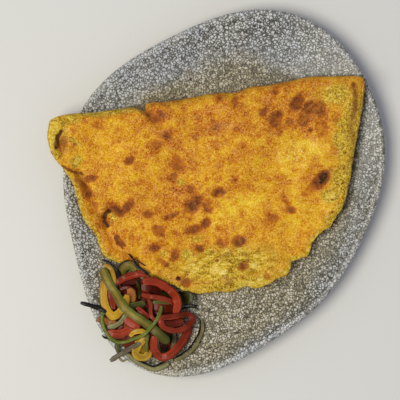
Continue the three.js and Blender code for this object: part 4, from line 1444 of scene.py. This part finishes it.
def make_table(settings):
    """A flat pale table top."""
    half = TABLE_SIDE / 2
    corners = [(-half, -half, 0), (half, -half, 0), (half, half, 0), (-half, half, 0)]
    table = add_mesh("table", corners, [], [(0, 1, 2, 3)])
    material, tree, place = new_material("table_top")
    base = linear(settings.floor)
    colour = tree.blend(tree.noise(place, 240), base, shaded(base, 0.96))
    surface(tree, {"Base Color": colour}, {"Roughness": 0.6}, tree.noise(place, 4), 0.02)
    table.data.materials.append(material)


def make_lights(settings):
    """One large lamp, as from a window, and light from all round."""
    lamp = bpy.data.lights.new("key_light", "AREA")
    lamp.shape = "DISK"
    lamp.size = 1.0
    lamp.energy = settings.key_power
    lamp.color = KEY_COLOUR
    key = add_object("key_light", lamp)
    key.location = KEY_PLACE
    key.rotation_euler = (-Vector(KEY_PLACE)).to_track_quat("-Z", "Y").to_euler()
    world = bpy.data.worlds.new("room_light")
    world.use_nodes = True
    background = world.node_tree.nodes["Background"]
    background.inputs["Color"].default_value = ROOM_COLOUR
    background.inputs["Strength"].default_value = settings.fill
    bpy.context.scene.world = world


def make_camera(settings):
    """Looks down on the middle of the square view."""
    camera = bpy.data.cameras.new("camera")
    camera.sensor_width = SENSOR
    camera.lens = SENSOR * settings.camera_height / (VIEW_SIDE * MM)
    away = Vector((0, -math.cos(settings.elevation), math.sin(settings.elevation)))
    piece = add_object("camera", camera)
    piece.location = Vector((*VIEW_MIDDLE, RIM_HEIGHT)) * MM + away * settings.camera_height
    piece.rotation_euler = (math.pi / 2 - settings.elevation, 0, 0)
    bpy.context.scene.camera = piece


# ---- operators ----


class DISH_OT_plate(bpy.types.Operator):
    """Makes the stoneware plate"""

    bl_idname = "dish.plate"
    bl_label = "Plate"

    def execute(self, context):
        settings = context.scene.omelette_plate
        material = glaze(settings)
        values = {
            "Columns": settings.columns + 1,
            "Rows": PLATE_ROWS,
            "Mean Radius": PLATE_RADIUS * MM,
            "Rim Height": RIM_HEIGHT * MM,
            "Well Height": WELL_HEIGHT * MM,
            "Lip Radius": settings.wall / 2,
            "Material": material,
        }
        piece = grow(add_mesh("stoneware_plate", [], [], []), plate_tree(values), values)
        finish_piece(piece, material, "plate")
        return {"FINISHED"}


class DISH_OT_omelette(bpy.types.Operator):
    """Makes the folded omelette"""

    bl_idname = "dish.omelette"
    bl_label = "Omelette"

    def execute(self, context):
        settings = context.scene.omelette_egg
        piece = make_omelette(settings)
        edit_mesh(piece, weld)
        paint_omelette(piece)
        finish_piece(piece, fried_egg(settings), "omelette")
        return {"FINISHED"}


class DISH_OT_core(bpy.types.Operator):
    """Makes the low mound inside the heap of shreds"""

    bl_idname = "dish.core"
    bl_label = "Heap core"

    def execute(self, context):
        finish_piece(make_core(), core_mix(context.scene.omelette_shreds), "shred_heap")
        return {"FINISHED"}


class DISH_OT_shreds(bpy.types.Operator):
    """Lays the shreds on the heap, one piece for each kind"""

    bl_idname = "dish.shreds"
    bl_label = "Shreds"

    def execute(self, context):
        settings = context.scene.omelette_shreds
        ink = Inks(settings)
        materials = {
            # Red pepper darkened to half: painted shade in the heap's gaps.
            "maroon": pepper("wet_red_pepper", shaded(ink.red, 0.5), shaded(ink.red, 0.22)),
            "olive": courgette("courgette", ink.courgette, shaded(ink.courgette, 0.6), 0.3, ink.olive),
            "pale": courgette("pale_courgette", ink.pale, shaded(ink.leaf, 0.7), 0.78),
            "seeded": courgette("aubergine_flesh", ink.seeded, ink.skin, 0.8),
        }
        for kind, (name, share) in PEPPERS.items():
            flesh = getattr(ink, kind)
            materials[kind] = pepper(name, flesh, shaded(flesh, share))
        values = {"Step": settings.step, "Sides": settings.sides, "Unevenness": UNEVENNESS}
        group = shred_tree({**values, "Material": materials["red"]})
        for kind, rows in lay_shreds(Omelette(context.scene.omelette_egg)).items():
            routes = route_mesh("shreds_" + kind, rows)
            piece = grow(routes, group, {**values, "Material": materials[kind]})
            edit_mesh(piece, face_outwards)
            finish_piece(piece, materials[kind], "shred_heap")
        return {"FINISHED"}


class DISH_OT_stage(bpy.types.Operator):
    """Makes the table, the lights and the camera"""

    bl_idname = "dish.stage"
    bl_label = "Stage"

    def execute(self, context):
        settings = context.scene.omelette_stage
        make_table(settings)
        make_lights(settings)
        make_camera(settings)
        context.scene.view_settings.view_transform = "Standard"
        return {"FINISHED"}


class DISH_PT_panel(bpy.types.Panel):
    """Lists the parts of the dish"""

    bl_label = "Plated omelette"
    bl_idname = "DISH_PT_panel"
    bl_space_type = "VIEW_3D"
    bl_region_type = "UI"
    bl_category = "Omelette"

    def draw(self, context):
        for operator in OPERATORS:
            self.layout.operator(operator.bl_idname)
        for name in SETTINGS:
            group = getattr(context.scene, name)
            box = self.layout.box()
            for key in group.bl_rna.properties.keys():
                if key not in ("rna_type", "name"):
                    box.prop(group, key)


OPERATORS = [DISH_OT_plate, DISH_OT_omelette, DISH_OT_core, DISH_OT_shreds, DISH_OT_stage]
CLASSES = [*SETTINGS.values(), *OPERATORS, DISH_PT_panel]


def register():
    for cls in CLASSES:
        bpy.utils.register_class(cls)
    for name, cls in SETTINGS.items():
        setattr(bpy.types.Scene, name, bpy.props.PointerProperty(type=cls))


def unregister():
    for name in SETTINGS:
        delattr(bpy.types.Scene, name)
    for cls in reversed(CLASSES):
        bpy.utils.unregister_class(cls)


def main():
    register()
    bpy.ops.dish.plate()
    bpy.ops.dish.omelette()
    bpy.ops.dish.core()
    bpy.ops.dish.shreds()
    bpy.ops.dish.stage()


if __name__ == "__main__":
    main()
